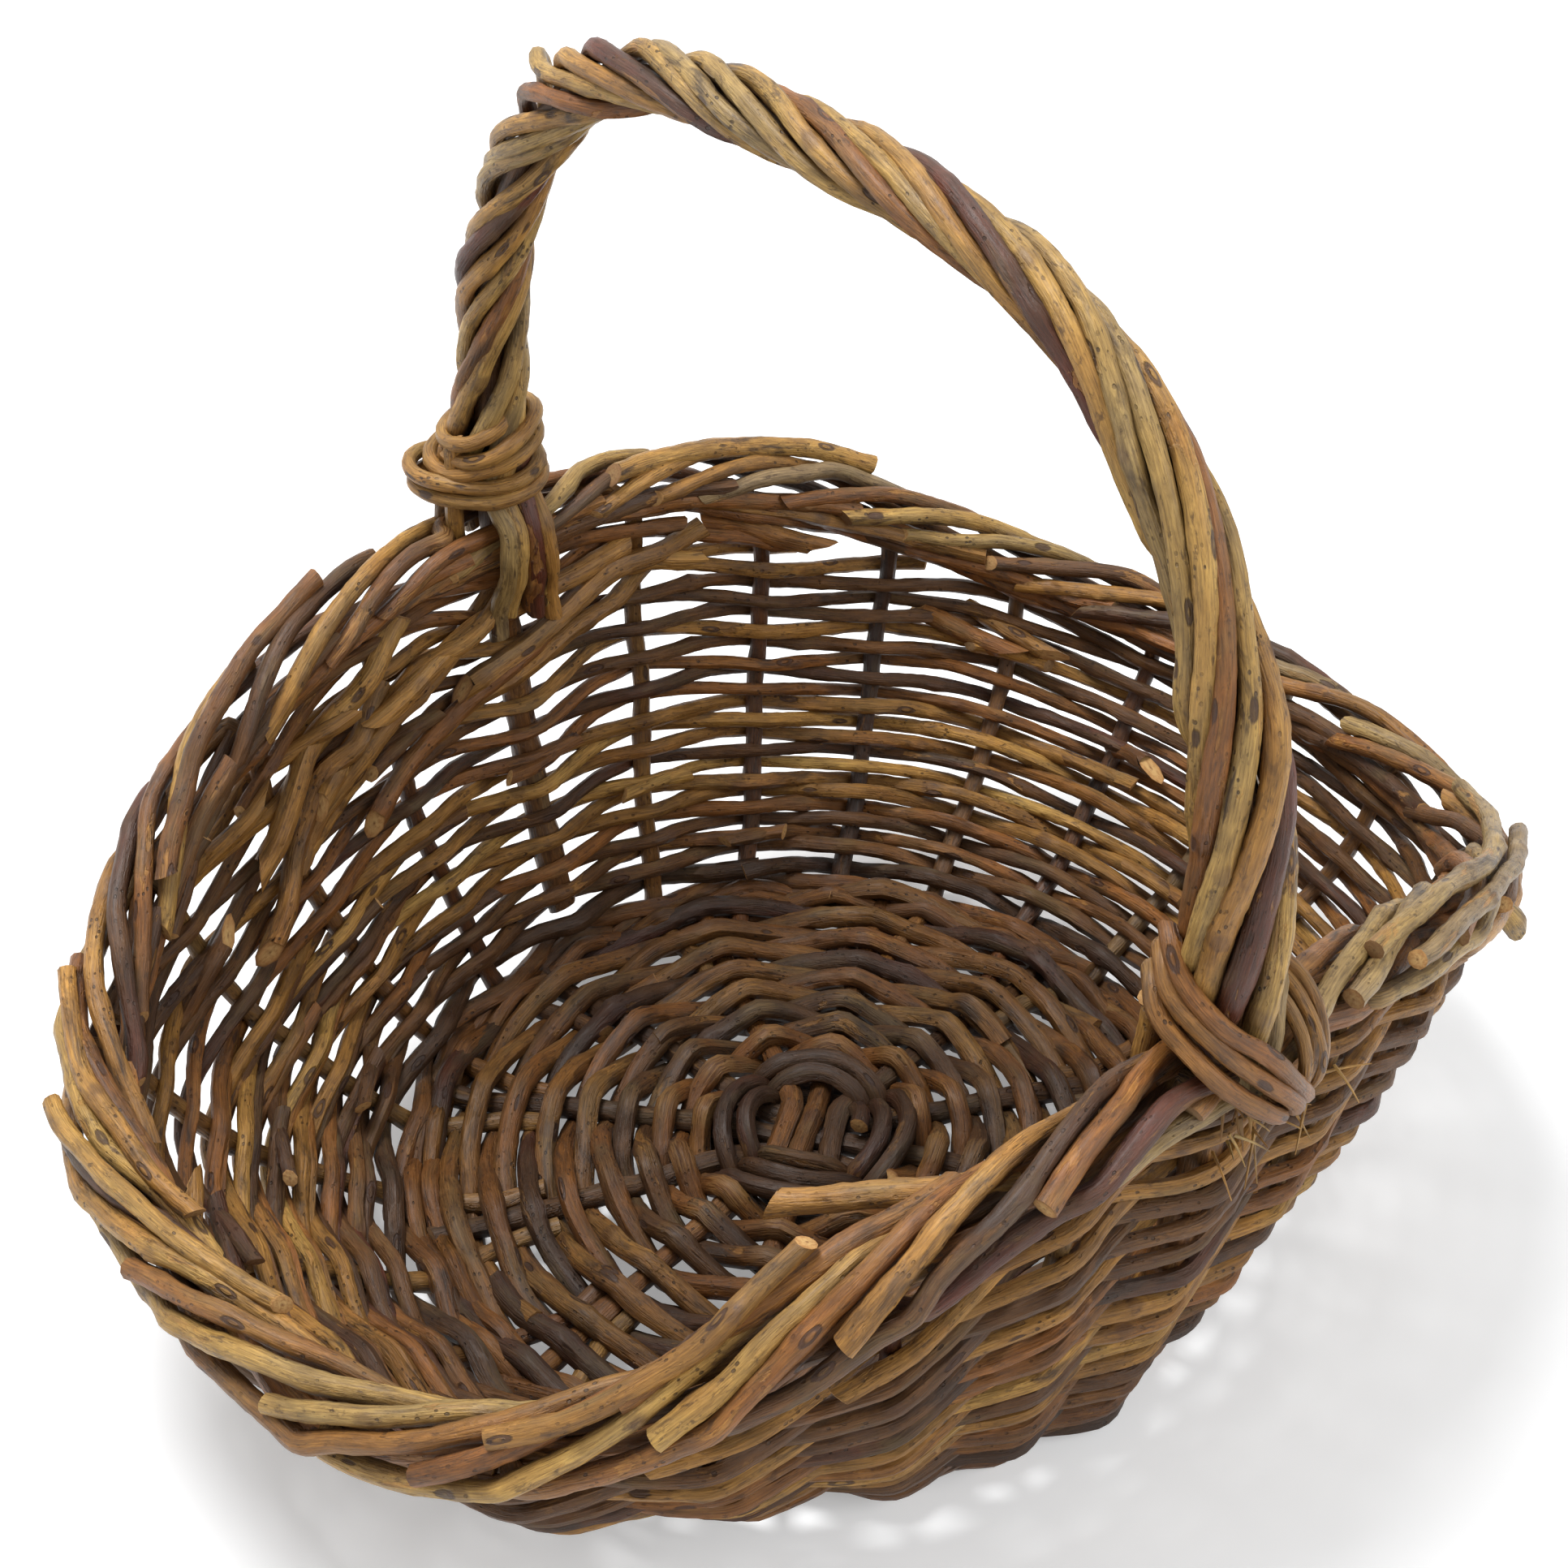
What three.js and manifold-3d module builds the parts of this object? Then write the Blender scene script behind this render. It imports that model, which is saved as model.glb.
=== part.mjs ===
// A small oval gathering basket of unpeeled willow rods, in millimetres, with +Z up.
// The handle's feet stand on the X axis, the low ends of the saddle-shaped rim lie along Y.
// The basket stands on z = 0, under the rows of the base nearest its edge.

import * as THREE from 'three';
import Module from 'manifold-3d';
import { mergeVertices } from 'three/addons/utils/BufferGeometryUtils.js';

// Rim and base
const RIM_HALF_WIDTH = 125;
const RIM_HALF_LENGTH = 168;
const RIM_SQUARENESS = 2.55;
const RIM_HEIGHT_AT_HANDLE = 134;
const RIM_HEIGHT_AT_ENDS = 76;
const RIM_HEIGHT_AT_SHOULDERS = 94;
const BASE_RADIUS = 101;
const BASE_CROWN = 6;
const WALL_BELLY = 0.45;

// Rod thicknesses, as radii
const STICK_RADIUS = 3;
const BASE_WEAVER_RADIUS = 2.6;
const FOOT_WEAVER_RADIUS = 2.4;
const STAKE_BUTT_RADIUS = 2.6;
const STAKE_TIP_RADIUS = 2.3;
const BORDER_ROD_RADIUS = 2.7;
const WEAVER_BUTT_RADIUS = 1.85;
const WEAVER_TIP_RADIUS = 1.7;
const BOW_RADIUS = 4;
const BOW_TOP_RADIUS = 2.6;
const HANDLE_ROD_RADIUS = 2.7;
const HANDLE_ROD_TOP_RADIUS = 1.95;
const LASHING_RADIUS = 2.1;

// Clearance between rods that lie against each other
const SEAT = 0.3;

// Counts
const UPRIGHTS = 24;
const BASE_STICKS = 6;
const WALL_ROWS = 19;
const HANDLE_RODS = 7;
const LASHING_TURNS = 5;
const CROSSED_TURNS = 2;
const CROSSED_TURNS_OUT = 1.4;
const BORDER_REACH = 4.3;
const BORDER_ROD_GAP = 0.8;

// Base weaving
const BASE_WEAVE_START = 27;
const BASE_WEAVE_TURNS = 6.5;
const BASE_WEAVER_FLAT = 0.3;
const STAKE_BUTT_START = 68;
const STAKE_FAN_START = 80;
const STANDING_FLAT = 0.5;

// Wall weaving
const FOOT_WEAVE_LIFT = 5;
const FOOT_ROW_GAP = 1;
const WEAVER_END_BACKSET = 0.03;
const WEAVER_HOLD = 0.15;
const FOOT_ROW_STARTS = [3, 10];
const WALL_ROW_FIRST_START = 5;
const WALL_ROW_START_STEP = 5;

// Extra weaving beside the handle's feet, counted in uprights away from the handle
const PACKING_RADIUS = 1.65;
const PACKING_ENDS = [-3, 3, -2, 2, -1];
const PACKING_ROWS = PACKING_ENDS.length - 1;
const PACKING_FULL = 2;
const PACKING_FADE = 2;
const PACKING_TURN_HALF = 0.17;

// Handle
const HANDLE_HEIGHT = 285.5;
const HANDLE_SHOULDER_POWER = 0.67;
const HANDLE_RISE_POWER = 0.77;
const HANDLE_TWIST_PITCH = 110;
const HANDLE_TAPER_POWER = 1.6;
const HANDLE_LEG_TOE = 14;
const TWIST_STEPS = 8;
const LASHING_SPREAD = 0.7;
const CROSSED_TILT = THREE.MathUtils.degToRad(45);
const CROSSED_SLACK = 0.3;
const BOW_PASS_LENGTH = 30;

// Lay of the border rods, as angles round the middle of the roll
const BORDER_FIRST_ANGLE = THREE.MathUtils.degToRad(-50);
const BORDER_STEP_ANGLE = THREE.MathUtils.degToRad(48);

// Bends of a border rod, in stakes passed since it was bent down
const BORDER_BENDS = [0.15, 0.4, 0.7, 1, 1.5, 2, 2.5, 3, 3.5, 4];

// Rings along a rod and samples along a curve
const STAKE_WALL_RINGS = 6;
const BOW_LEG_RINGS = 6;
const BOW_ARCH_RINGS = 24;
const LASHING_STEPS_PER_TURN = 12;
const RIM_SAMPLES = 1440;
const WALL_SAMPLES = 24;
const ARCH_SAMPLES = 720;

const TURN = Math.PI * 2;
const UP = new THREE.Vector3(0, 0, 1);
const BOW_UPRIGHTS = [0, UPRIGHTS / 2];

// Colours of the bark
const BARK = {
  base: ['#6f4e33', 0.85],
  stake: ['#8a6340', 0.8],
  weaver: ['#7b5637', 0.8],
  weaver_dark: ['#5b3b2b', 0.8],
  handle: ['#94704a', 0.75],
  bow: ['#7a5a3c', 0.8],
  lashing: ['#86683f', 0.75],
};

const basket = new THREE.Group();

function addPiece(name, geometry, bark) {
  const [color, roughness] = BARK[bark];
  const material = new THREE.MeshStandardMaterial({ color, roughness, metalness: 0 });
  const mesh = new THREE.Mesh(geometry, material);
  mesh.name = name;
  basket.add(mesh);
}

function mix(from, to, share) {
  return from + (to - from) * share;
}

function smoothStep(value) {
  const share = THREE.MathUtils.clamp(value, 0, 1);
  return share * share * (3 - 2 * share);
}

// Rods: a closed tube through a list of { at, out, radius }, where out turns its section.
function rodGeometry(path, sides, sectionTurn = 0) {
  const positions = [];
  path.forEach((step, index) => {
    const before = path[Math.max(index - 1, 0)].at;
    const after = path[Math.min(index + 1, path.length - 1)].at;
    const along = after.clone().sub(before).normalize();
    const across = step.out.clone().addScaledVector(along, -step.out.dot(along)).normalize();
    const side = along.clone().cross(across);
    for (let corner = 0; corner < sides; corner += 1) {
      const angle = sectionTurn + (corner / sides) * TURN;
      const point = step.at.clone();
      point.addScaledVector(across, step.radius * Math.cos(angle));
      point.addScaledVector(side, step.radius * Math.sin(angle));
      positions.push(point.x, point.y, point.z);
    }
  });
  const indices = [];
  for (let ring = 0; ring < path.length - 1; ring += 1) {
    for (let corner = 0; corner < sides; corner += 1) {
      const next = (corner + 1) % sides;
      const low = ring * sides;
      const high = low + sides;
      indices.push(low + corner, low + next, high + next);
      indices.push(low + corner, high + next, high + corner);
    }
  }
  const last = (path.length - 1) * sides;
  for (let corner = 1; corner < sides - 1; corner += 1) {
    indices.push(0, corner + 1, corner);
    indices.push(last, last + corner, last + corner + 1);
  }
  const geometry = new THREE.BufferGeometry();
  geometry.setAttribute('position', new THREE.Float32BufferAttribute(positions, 3));
  geometry.setIndex(indices);
  return geometry;
}

// A lookup that turns a distance along sampled points into the parameter that reaches it.
function measureCurve(pointAt, samples) {
  const lengths = [0];
  let previous = pointAt(0);
  for (let index = 1; index <= samples; index += 1) {
    const point = pointAt(index / samples);
    lengths.push(lengths[index - 1] + point.distanceTo(previous));
    previous = point;
  }
  const total = lengths[samples];
  function shareAt(distance) {
    const wanted = THREE.MathUtils.clamp(distance, 0, total);
    let low = 0;
    let high = samples;
    while (high - low > 1) {
      const middle = (low + high) >> 1;
      if (lengths[middle] <= wanted) low = middle;
      else high = middle;
    }
    return (low + (wanted - lengths[low]) / (lengths[high] - lengths[low])) / samples;
  }
  return { total, shareAt };
}

// The base: sticks spread like spokes, at the level of the base's weaving.
const FLAT_SECTION = Math.PI / 4;
const baseWeaverHalfHeight = BASE_WEAVER_RADIUS * Math.cos(FLAT_SECTION);
const baseLift = STICK_RADIUS + SEAT + baseWeaverHalfHeight;
const baseLevel = baseLift + baseWeaverHalfHeight - STANDING_FLAT;
const baseWeaveEnd = BASE_RADIUS - 2 * BASE_WEAVER_RADIUS;
const baseRowPitch = (baseWeaveEnd - BASE_WEAVE_START) / (BASE_WEAVE_TURNS + 0.5);
const stickSpread = TURN / (2 * BASE_STICKS);
const crownRadius = baseWeaveEnd - baseRowPitch * 1.5;
const stickBendRadius = (BASE_WEAVE_START + crownRadius) / 2;

function baseHeight(radius) {
  return baseLevel + BASE_CROWN * Math.max(0, 1 - (radius / crownRadius) ** 2);
}

function basePoint(angle, radius, lift = 0) {
  return new THREE.Vector3(
    radius * Math.cos(angle),
    radius * Math.sin(angle),
    baseHeight(radius) + lift,
  );
}

// The rim: an oval with full shoulders, high at the handle's feet and low at the ends.
const rimMean = (RIM_HEIGHT_AT_HANDLE + RIM_HEIGHT_AT_ENDS) / 2;
const rimLevel = (rimMean + RIM_HEIGHT_AT_SHOULDERS) / 2;
const rimSaddle = (RIM_HEIGHT_AT_HANDLE - RIM_HEIGHT_AT_ENDS) / 2;
const rimRipple = (rimMean - RIM_HEIGHT_AT_SHOULDERS) / 2;

function rimAtAngle(angle) {
  const across = Math.abs(Math.cos(angle) / RIM_HALF_WIDTH);
  const lengthwise = Math.abs(Math.sin(angle) / RIM_HALF_LENGTH);
  const radius = (across ** RIM_SQUARENESS + lengthwise ** RIM_SQUARENESS) ** (-1 / RIM_SQUARENESS);
  const half = RIM_SQUARENESS / 2;
  const phase = Math.atan2((lengthwise * radius) ** half, (across * radius) ** half);
  const height = rimLevel + rimSaddle * Math.cos(2 * phase) + rimRipple * Math.cos(4 * phase);
  return new THREE.Vector3(radius * Math.cos(angle), radius * Math.sin(angle), height);
}

const rimLine = measureCurve((share) => rimAtAngle(share * TURN), RIM_SAMPLES);

// A place on the rim, with turns counted from the handle's foot on +X, anticlockwise.
function rimPoint(turns) {
  const whole = turns - Math.floor(turns);
  return rimAtAngle(rimLine.shareAt(whole * rimLine.total) * TURN);
}

// The wall: it leaves the edge of the base with a belly and stands up towards the rim.
function wallAtShare(turns, share) {
  const low = basePoint(turns * TURN, BASE_RADIUS);
  const high = rimPoint(turns);
  const spread = share + 2 * WALL_BELLY * share * (1 - share);
  return new THREE.Vector3(
    mix(low.x, high.x, spread),
    mix(low.y, high.y, spread),
    mix(low.z, high.z, share),
  );
}

const wallLines = new Map();

function wallLine(turns) {
  const key = turns.toFixed(6);
  if (!wallLines.has(key)) {
    wallLines.set(key, measureCurve((share) => wallAtShare(turns, share), WALL_SAMPLES));
  }
  return wallLines.get(key);
}

function wallPoint(turns, distance) {
  const line = wallLine(turns);
  const inside = wallAtShare(turns, line.shareAt(distance));
  if (distance <= line.total) return inside;
  const below = wallAtShare(turns, line.shareAt(line.total - 1));
  return inside.addScaledVector(inside.clone().sub(below).normalize(), distance - line.total);
}

// The wall's own directions at a place: outward, up the wall and along it.
function wallFrame(turns, distance) {
  const step = 0.001;
  const at = wallPoint(turns, distance);
  const along = wallPoint(turns + step, distance).sub(wallPoint(turns - step, distance));
  const up = wallPoint(turns, distance + 1).sub(wallPoint(turns, Math.max(distance - 1, 0)));
  up.normalize();
  const out = along.normalize().cross(up).normalize();
  return { at, out, up };
}

function offWall(frame, outward, upward) {
  return frame.at.clone().addScaledVector(frame.out, outward).addScaledVector(frame.up, upward);
}

// Border rods: each stake's top is bent down outside and rolled over to the inside of the rim.
const rodPitch = 2 * BORDER_ROD_RADIUS + BORDER_ROD_GAP;
const rollRadius = rodPitch / (2 * Math.sin(BORDER_STEP_ANGLE / 2));
const bowSide = BOW_RADIUS + BORDER_ROD_RADIUS + 2 * SEAT;
const bowPassAngle = Math.atan2(rodPitch / 2, bowSide);
const bowPassRadius = Math.hypot(rodPitch / 2, bowSide);
const bowPassAngles = [
  -bowPassAngle * 3,
  -bowPassAngle,
  bowPassAngle,
  Math.PI - bowPassAngle,
  Math.PI + bowPassAngle,
];

function bowNearness(turns) {
  const half = turns * 2;
  const away = Math.abs(half - Math.round(half)) / 2;
  return 1 - smoothStep((away * rimLine.total) / BOW_PASS_LENGTH);
}

// Where a border rod lies after passing a number of stakes since it was bent down.
function borderPlace(turns, stakesPassed) {
  const nearBow = bowNearness(turns);
  const atBow = THREE.MathUtils.clamp(Math.round(stakesPassed), 0, bowPassAngles.length - 1);
  const rolled = BORDER_FIRST_ANGLE + BORDER_STEP_ANGLE * stakesPassed;
  const angle = mix(rolled, bowPassAngles[atBow], nearBow);
  const radius = mix(rollRadius, bowPassRadius, nearBow);
  return { outward: radius * Math.cos(angle), upward: radius * Math.sin(angle) };
}

function borderPoint(turns, stakesPassed) {
  const step = 0.001;
  const wall = wallFrame(turns, wallLine(turns).total);
  const along = rimPoint(turns + step).sub(rimPoint(turns - step)).normalize();
  const frame = { at: wall.at, out: wall.out, up: wall.out.clone().cross(along).normalize() };
  const place = borderPlace(turns, stakesPassed);
  return { at: offWall(frame, place.outward, place.upward), out: frame.out };
}

// Rods of the wall end under the border by the roll's depth and the rods' own thickness.
const borderDepth = rollRadius * Math.abs(Math.sin(BORDER_FIRST_ANGLE)) + BORDER_ROD_RADIUS;
const wallWeaveMargin = borderDepth + 3 * SEAT + WEAVER_BUTT_RADIUS;
const lashingRoom = 2 * (LASHING_RADIUS + LASHING_SPREAD) + 3 * SEAT;

// Beside the handle's feet the weaving stays lower, to let the lashing through under the border.
function wallWeaveTop(turns) {
  return wallLine(turns).total - wallWeaveMargin - lashingRoom * bowNearness(turns);
}

// The base's cross of sticks, three one way and three the other, threaded into one slath.
function stickPath(middleAngle, place) {
  const along = new THREE.Vector3(Math.cos(middleAngle), Math.sin(middleAngle), 0);
  const aside = new THREE.Vector3(-along.y, along.x, 0);
  const offset = place * (2 * STICK_RADIUS + SEAT);
  const crossHalf = 1.5 * (2 * STICK_RADIUS + SEAT);
  const endRadius = BASE_RADIUS - STAKE_BUTT_RADIUS;
  const middle = [-crossHalf, 0, crossHalf].map((forward) => {
    const point = along.clone().multiplyScalar(forward).addScaledVector(aside, offset);
    point.z = baseHeight(point.length());
    return point;
  });
  function spoke(direction) {
    const angle = middleAngle + (direction > 0 ? 0 : Math.PI) + direction * place * stickSpread;
    return [BASE_WEAVE_START, stickBendRadius, crownRadius, endRadius].map((radius) =>
      basePoint(angle, radius));
  }
  const points = [...spoke(-1).reverse(), ...middle, ...spoke(1)];
  return points.map((at) => ({ at, out: UP, radius: STICK_RADIUS }));
}

const wasm = await Module();
wasm.setup();

function toSolid(geometry) {
  const merged = mergeVertices(geometry);
  return new wasm.Manifold(new wasm.Mesh({
    numProp: 3,
    vertProperties: new Float32Array(merged.attributes.position.array),
    triVerts: new Uint32Array(merged.index.array),
  }));
}

function toGeometry(solid) {
  const mesh = solid.getMesh();
  const geometry = new THREE.BufferGeometry();
  geometry.setAttribute('position', new THREE.Float32BufferAttribute(mesh.vertProperties, 3));
  geometry.setIndex(Array.from(mesh.triVerts));
  return geometry;
}

const firstStickAngle = stickSpread / 4;

function addSlath() {
  let slath = null;
  for (const crossing of [0, 1]) {
    const middleAngle = firstStickAngle + stickSpread + (crossing * Math.PI) / 2;
    for (const place of [-1, 0, 1]) {
      const stick = toSolid(rodGeometry(stickPath(middleAngle, place), 6));
      slath = slath ? slath.add(stick) : stick;
    }
  }
  addPiece('base_slath', toGeometry(slath), 'base');
}

// Two rods chase each other round the sticks, one over where the other goes under.
// Their undersides near the base's edge are pared flat where the basket stands.
function addBaseWeavers() {
  const underFloor = new THREE.BoxGeometry(3 * BASE_RADIUS, 3 * BASE_RADIUS, baseLevel);
  underFloor.translate(0, 0, -baseLevel / 2);
  underFloor.deleteAttribute('normal');
  underFloor.deleteAttribute('uv');
  const crossings = 2 * BASE_STICKS;
  for (const strand of [0, 1]) {
    const path = [];
    for (let crossing = 0; crossing < crossings * BASE_WEAVE_TURNS; crossing += 1) {
      const lift = (crossing + strand) % 2 === 0 ? baseLift : -baseLift;
      for (const aside of [-BASE_WEAVER_FLAT, BASE_WEAVER_FLAT]) {
        const turns = (crossing + aside) / crossings + strand / 2;
        const rows = (crossing + aside) / crossings;
        const radius = BASE_WEAVE_START + rows * baseRowPitch;
        const at = basePoint(firstStickAngle + turns * TURN, radius, lift);
        path.push({ at, out: UP, radius: BASE_WEAVER_RADIUS });
      }
    }
    const weaver = toSolid(rodGeometry(path, 4, FLAT_SECTION));
    addPiece(`base_weaver_${strand + 1}`, toGeometry(weaver.subtract(toSolid(underFloor))), 'base');
  }
}

function isBow(upright) {
  return BOW_UPRIGHTS.includes(((upright % UPRIGHTS) + UPRIGHTS) % UPRIGHTS);
}

// A rod of the wall goes once round, in front of one upright and behind the next.
function wallWeaverPath(firstUpright, distanceAt, buttRadius, tipRadius) {
  const path = [];
  const steps = [];
  for (let passed = 0; passed <= UPRIGHTS; passed += 1) {
    const from = passed === 0 ? WEAVER_END_BACKSET : -WEAVER_HOLD;
    const to = passed === UPRIGHTS ? -WEAVER_END_BACKSET : WEAVER_HOLD;
    steps.push([passed, from], [passed, to]);
  }
  for (const [passed, aside] of steps) {
    const upright = firstUpright + passed;
    const turns = (upright + aside) / UPRIGHTS;
    const radius = mix(buttRadius, tipRadius, passed / UPRIGHTS);
    const held = isBow(upright) ? BOW_RADIUS : STAKE_BUTT_RADIUS;
    const side = passed % 2 === 0 ? -1 : 1;
    const frame = wallFrame(turns, distanceAt(turns));
    const at = offWall(frame, side * (held + SEAT + radius), 0);
    path.push({ at, out: frame.out, radius });
  }
  return path;
}

// The rows start higher above the base where the wall leaves it steeply.
const footRowPitch = 2 * FOOT_WEAVER_RADIUS + FOOT_ROW_GAP;
const firstRowAboveFoot = footRowPitch + FOOT_WEAVER_RADIUS + FOOT_ROW_GAP + WEAVER_BUTT_RADIUS;

function footLift(turns) {
  return FOOT_WEAVE_LIFT * wallFrame(turns, 1).up.z;
}

// Room for extra rows beside the handle's feet, as a count that fades out along the rim.
function extraRows(turns) {
  const half = turns * 2;
  const uprightsAway = (Math.abs(half - Math.round(half)) / 2) * UPRIGHTS;
  return PACKING_ROWS * (1 - smoothStep((uprightsAway - PACKING_FULL) / PACKING_FADE));
}

function rowDistance(turns, row) {
  const low = footLift(turns) + firstRowAboveFoot;
  return mix(low, wallWeaveTop(turns), row / (WALL_ROWS - 1 + extraRows(turns)));
}

function addFootWeavers() {
  FOOT_ROW_STARTS.forEach((start, row) => {
    const distanceAt = (turns) => footLift(turns) + row * footRowPitch;
    const path = wallWeaverPath(start, distanceAt, FOOT_WEAVER_RADIUS, FOOT_WEAVER_RADIUS);
    addPiece(`foot_weaver_${row + 1}`, rodGeometry(path, 4), 'base');
  });
}

function addWallRows() {
  for (let row = 0; row < WALL_ROWS; row += 1) {
    const start = WALL_ROW_FIRST_START + row * WALL_ROW_START_STEP;
    const path = wallWeaverPath(
      start,
      (turns) => rowDistance(turns, row),
      WEAVER_BUTT_RADIUS,
      WEAVER_TIP_RADIUS,
    );
    const number = String(row + 1).padStart(2, '0');
    addPiece(`wall_row_${number}`, rodGeometry(path, 4), row % 3 === 1 ? 'weaver_dark' : 'weaver');
  }
}

// One rod fills the wall beside each handle's foot: it weaves to a stake, turns round it and
// comes back a row higher, over fewer stakes each time.
function packingPath(bow) {
  const path = [];
  function place(away, aside, row, side) {
    const turns = (bow + away + aside) / UPRIGHTS;
    const held = isBow(bow + away) ? BOW_RADIUS : STAKE_BUTT_RADIUS;
    const frame = wallFrame(turns, rowDistance(turns, WALL_ROWS + row));
    const at = offWall(frame, side * (held + SEAT + PACKING_RADIUS), 0);
    path.push({ at, out: frame.up, radius: PACKING_RADIUS });
  }
  for (let row = 0; row < PACKING_ROWS; row += 1) {
    const from = PACKING_ENDS[row];
    const to = PACKING_ENDS[row + 1];
    const onward = Math.sign(to - from);
    for (let away = from; away !== to + onward; away += onward) {
      const side = (bow + away + row) % 2 === 0 ? -1 : 1;
      const starts = away === from;
      const ends = away === to;
      if (starts) {
        if (row > 0) place(away, -onward * PACKING_TURN_HALF, row - 0.5, 0);
        place(away, row > 0 ? -onward * WEAVER_END_BACKSET : onward * WEAVER_END_BACKSET, row, side);
      } else {
        place(away, -onward * WEAVER_HOLD, row, side);
      }
      if (ends) place(away, onward * WEAVER_END_BACKSET, row, side);
      else place(away, onward * WEAVER_HOLD, row, side);
    }
  }
  return path;
}

function addPacking() {
  addPiece('packing_right', rodGeometry(packingPath(BOW_UPRIGHTS[0]), 4), 'weaver');
  addPiece('packing_left', rodGeometry(packingPath(BOW_UPRIGHTS[1]), 4), 'weaver');
}

// A stake lies beside a base stick, turns up at the base's edge and ends as a border rod.
// The side that faces up along the base faces into the basket along the wall.
function stakePath(upright) {
  const path = [];
  const stickNumber = Math.floor(upright / 2);
  const stickAngle = firstStickAngle + stickNumber * stickSpread;
  const side = upright % 2 === 0 ? -1 : 1;
  const turns = upright / UPRIGHTS;
  const beside = STICK_RADIUS + STAKE_BUTT_RADIUS + SEAT;
  const besideAngle = side * Math.asin(beside / STAKE_FAN_START);
  const buttEnd = baseWeaveEnd + BASE_WEAVER_RADIUS;
  for (const radius of [STAKE_BUTT_START, STAKE_FAN_START, buttEnd]) {
    const fanned = (radius - STAKE_FAN_START) / (BASE_RADIUS - STAKE_FAN_START);
    const straight = side * Math.asin(beside / radius);
    const spread = mix(besideAngle, turns * TURN - stickAngle, Math.max(fanned, 0));
    const angle = stickAngle + (fanned > 0 ? spread : straight);
    path.push({ at: basePoint(angle, radius), out: UP, radius: STAKE_BUTT_RADIUS });
  }
  const line = wallLine(turns);
  const top = line.total - borderDepth;
  for (let index = 0; index < STAKE_WALL_RINGS; index += 1) {
    const share = index / (STAKE_WALL_RINGS - 1);
    const frame = wallFrame(turns, mix(footLift(turns) / 2, top, share));
    const radius = mix(STAKE_BUTT_RADIUS, STAKE_TIP_RADIUS, share);
    path.push({ at: frame.at, out: frame.out.negate(), radius });
  }
  for (const passed of [...BORDER_BENDS, BORDER_REACH]) {
    const { at, out } = borderPoint((upright + passed) / UPRIGHTS, passed);
    path.push({ at, out: out.negate(), radius: BORDER_ROD_RADIUS });
  }
  return path;
}

function addStakes() {
  for (let upright = 0; upright < UPRIGHTS; upright += 1) {
    if (!isBow(upright)) {
      const number = String(upright).padStart(2, '0');
      addPiece(`stake_${number}`, rodGeometry(stakePath(upright), 4), 'stake');
    }
  }
}

// The handle's arch, from the foot on +X over to the foot on -X.
function archAtShare(share) {
  const angle = share * Math.PI;
  const reach = Math.sign(Math.cos(angle)) * Math.abs(Math.cos(angle)) ** HANDLE_SHOULDER_POWER;
  const rise = Math.abs(Math.sin(angle)) ** HANDLE_RISE_POWER;
  return new THREE.Vector3(
    reach * RIM_HALF_WIDTH,
    0,
    mix(RIM_HEIGHT_AT_HANDLE, HANDLE_HEIGHT, rise),
  );
}

const archLine = measureCurve(archAtShare, ARCH_SAMPLES);

function archFrame(distance) {
  const at = archAtShare(archLine.shareAt(distance));
  const before = archAtShare(archLine.shareAt(distance - 1));
  const after = archAtShare(archLine.shareAt(distance + 1));
  const along = after.sub(before).normalize();
  const across = new THREE.Vector3(0, 1, 0);
  const out = across.clone().cross(along).normalize();
  return { at, out, across };
}

const lashingPitch = 2 * LASHING_RADIUS + LASHING_SPREAD;
const lashingStart = rollRadius + BORDER_ROD_RADIUS + SEAT + LASHING_RADIUS;
const handleRodStart = lashingStart - LASHING_RADIUS;

// How thick the handle is at a distance along its arch: 1 at the feet, 0 at the top.
function footShare(distance) {
  return Math.abs(1 - (2 * distance) / archLine.total) ** HANDLE_TAPER_POWER;
}

function bowRadiusAt(distance) {
  return mix(BOW_TOP_RADIUS, BOW_RADIUS, footShare(distance));
}

function handleRodRadiusAt(distance) {
  return mix(HANDLE_ROD_TOP_RADIUS, HANDLE_ROD_RADIUS, footShare(distance));
}

function twistRadiusAt(distance) {
  const touching = bowRadiusAt(distance) + SEAT + handleRodRadiusAt(distance);
  return touching / Math.cos(Math.PI / TWIST_STEPS);
}

function addBow() {
  const path = [];
  function leg(turns) {
    const rings = [];
    for (let index = 0; index < BOW_LEG_RINGS; index += 1) {
      const distance = mix(HANDLE_LEG_TOE, wallLine(turns).total, index / BOW_LEG_RINGS);
      const frame = wallFrame(turns, distance);
      rings.push({ at: frame.at, out: frame.out, radius: BOW_RADIUS });
    }
    return rings;
  }
  path.push(...leg(0));
  for (let index = 0; index <= BOW_ARCH_RINGS; index += 1) {
    const distance = (archLine.total * index) / BOW_ARCH_RINGS;
    const frame = archFrame(distance);
    path.push({ at: frame.at, out: frame.out, radius: bowRadiusAt(distance) });
  }
  path.push(...leg(0.5).reverse());
  addPiece('handle_bow', rodGeometry(path, 6), 'bow');
}

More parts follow.
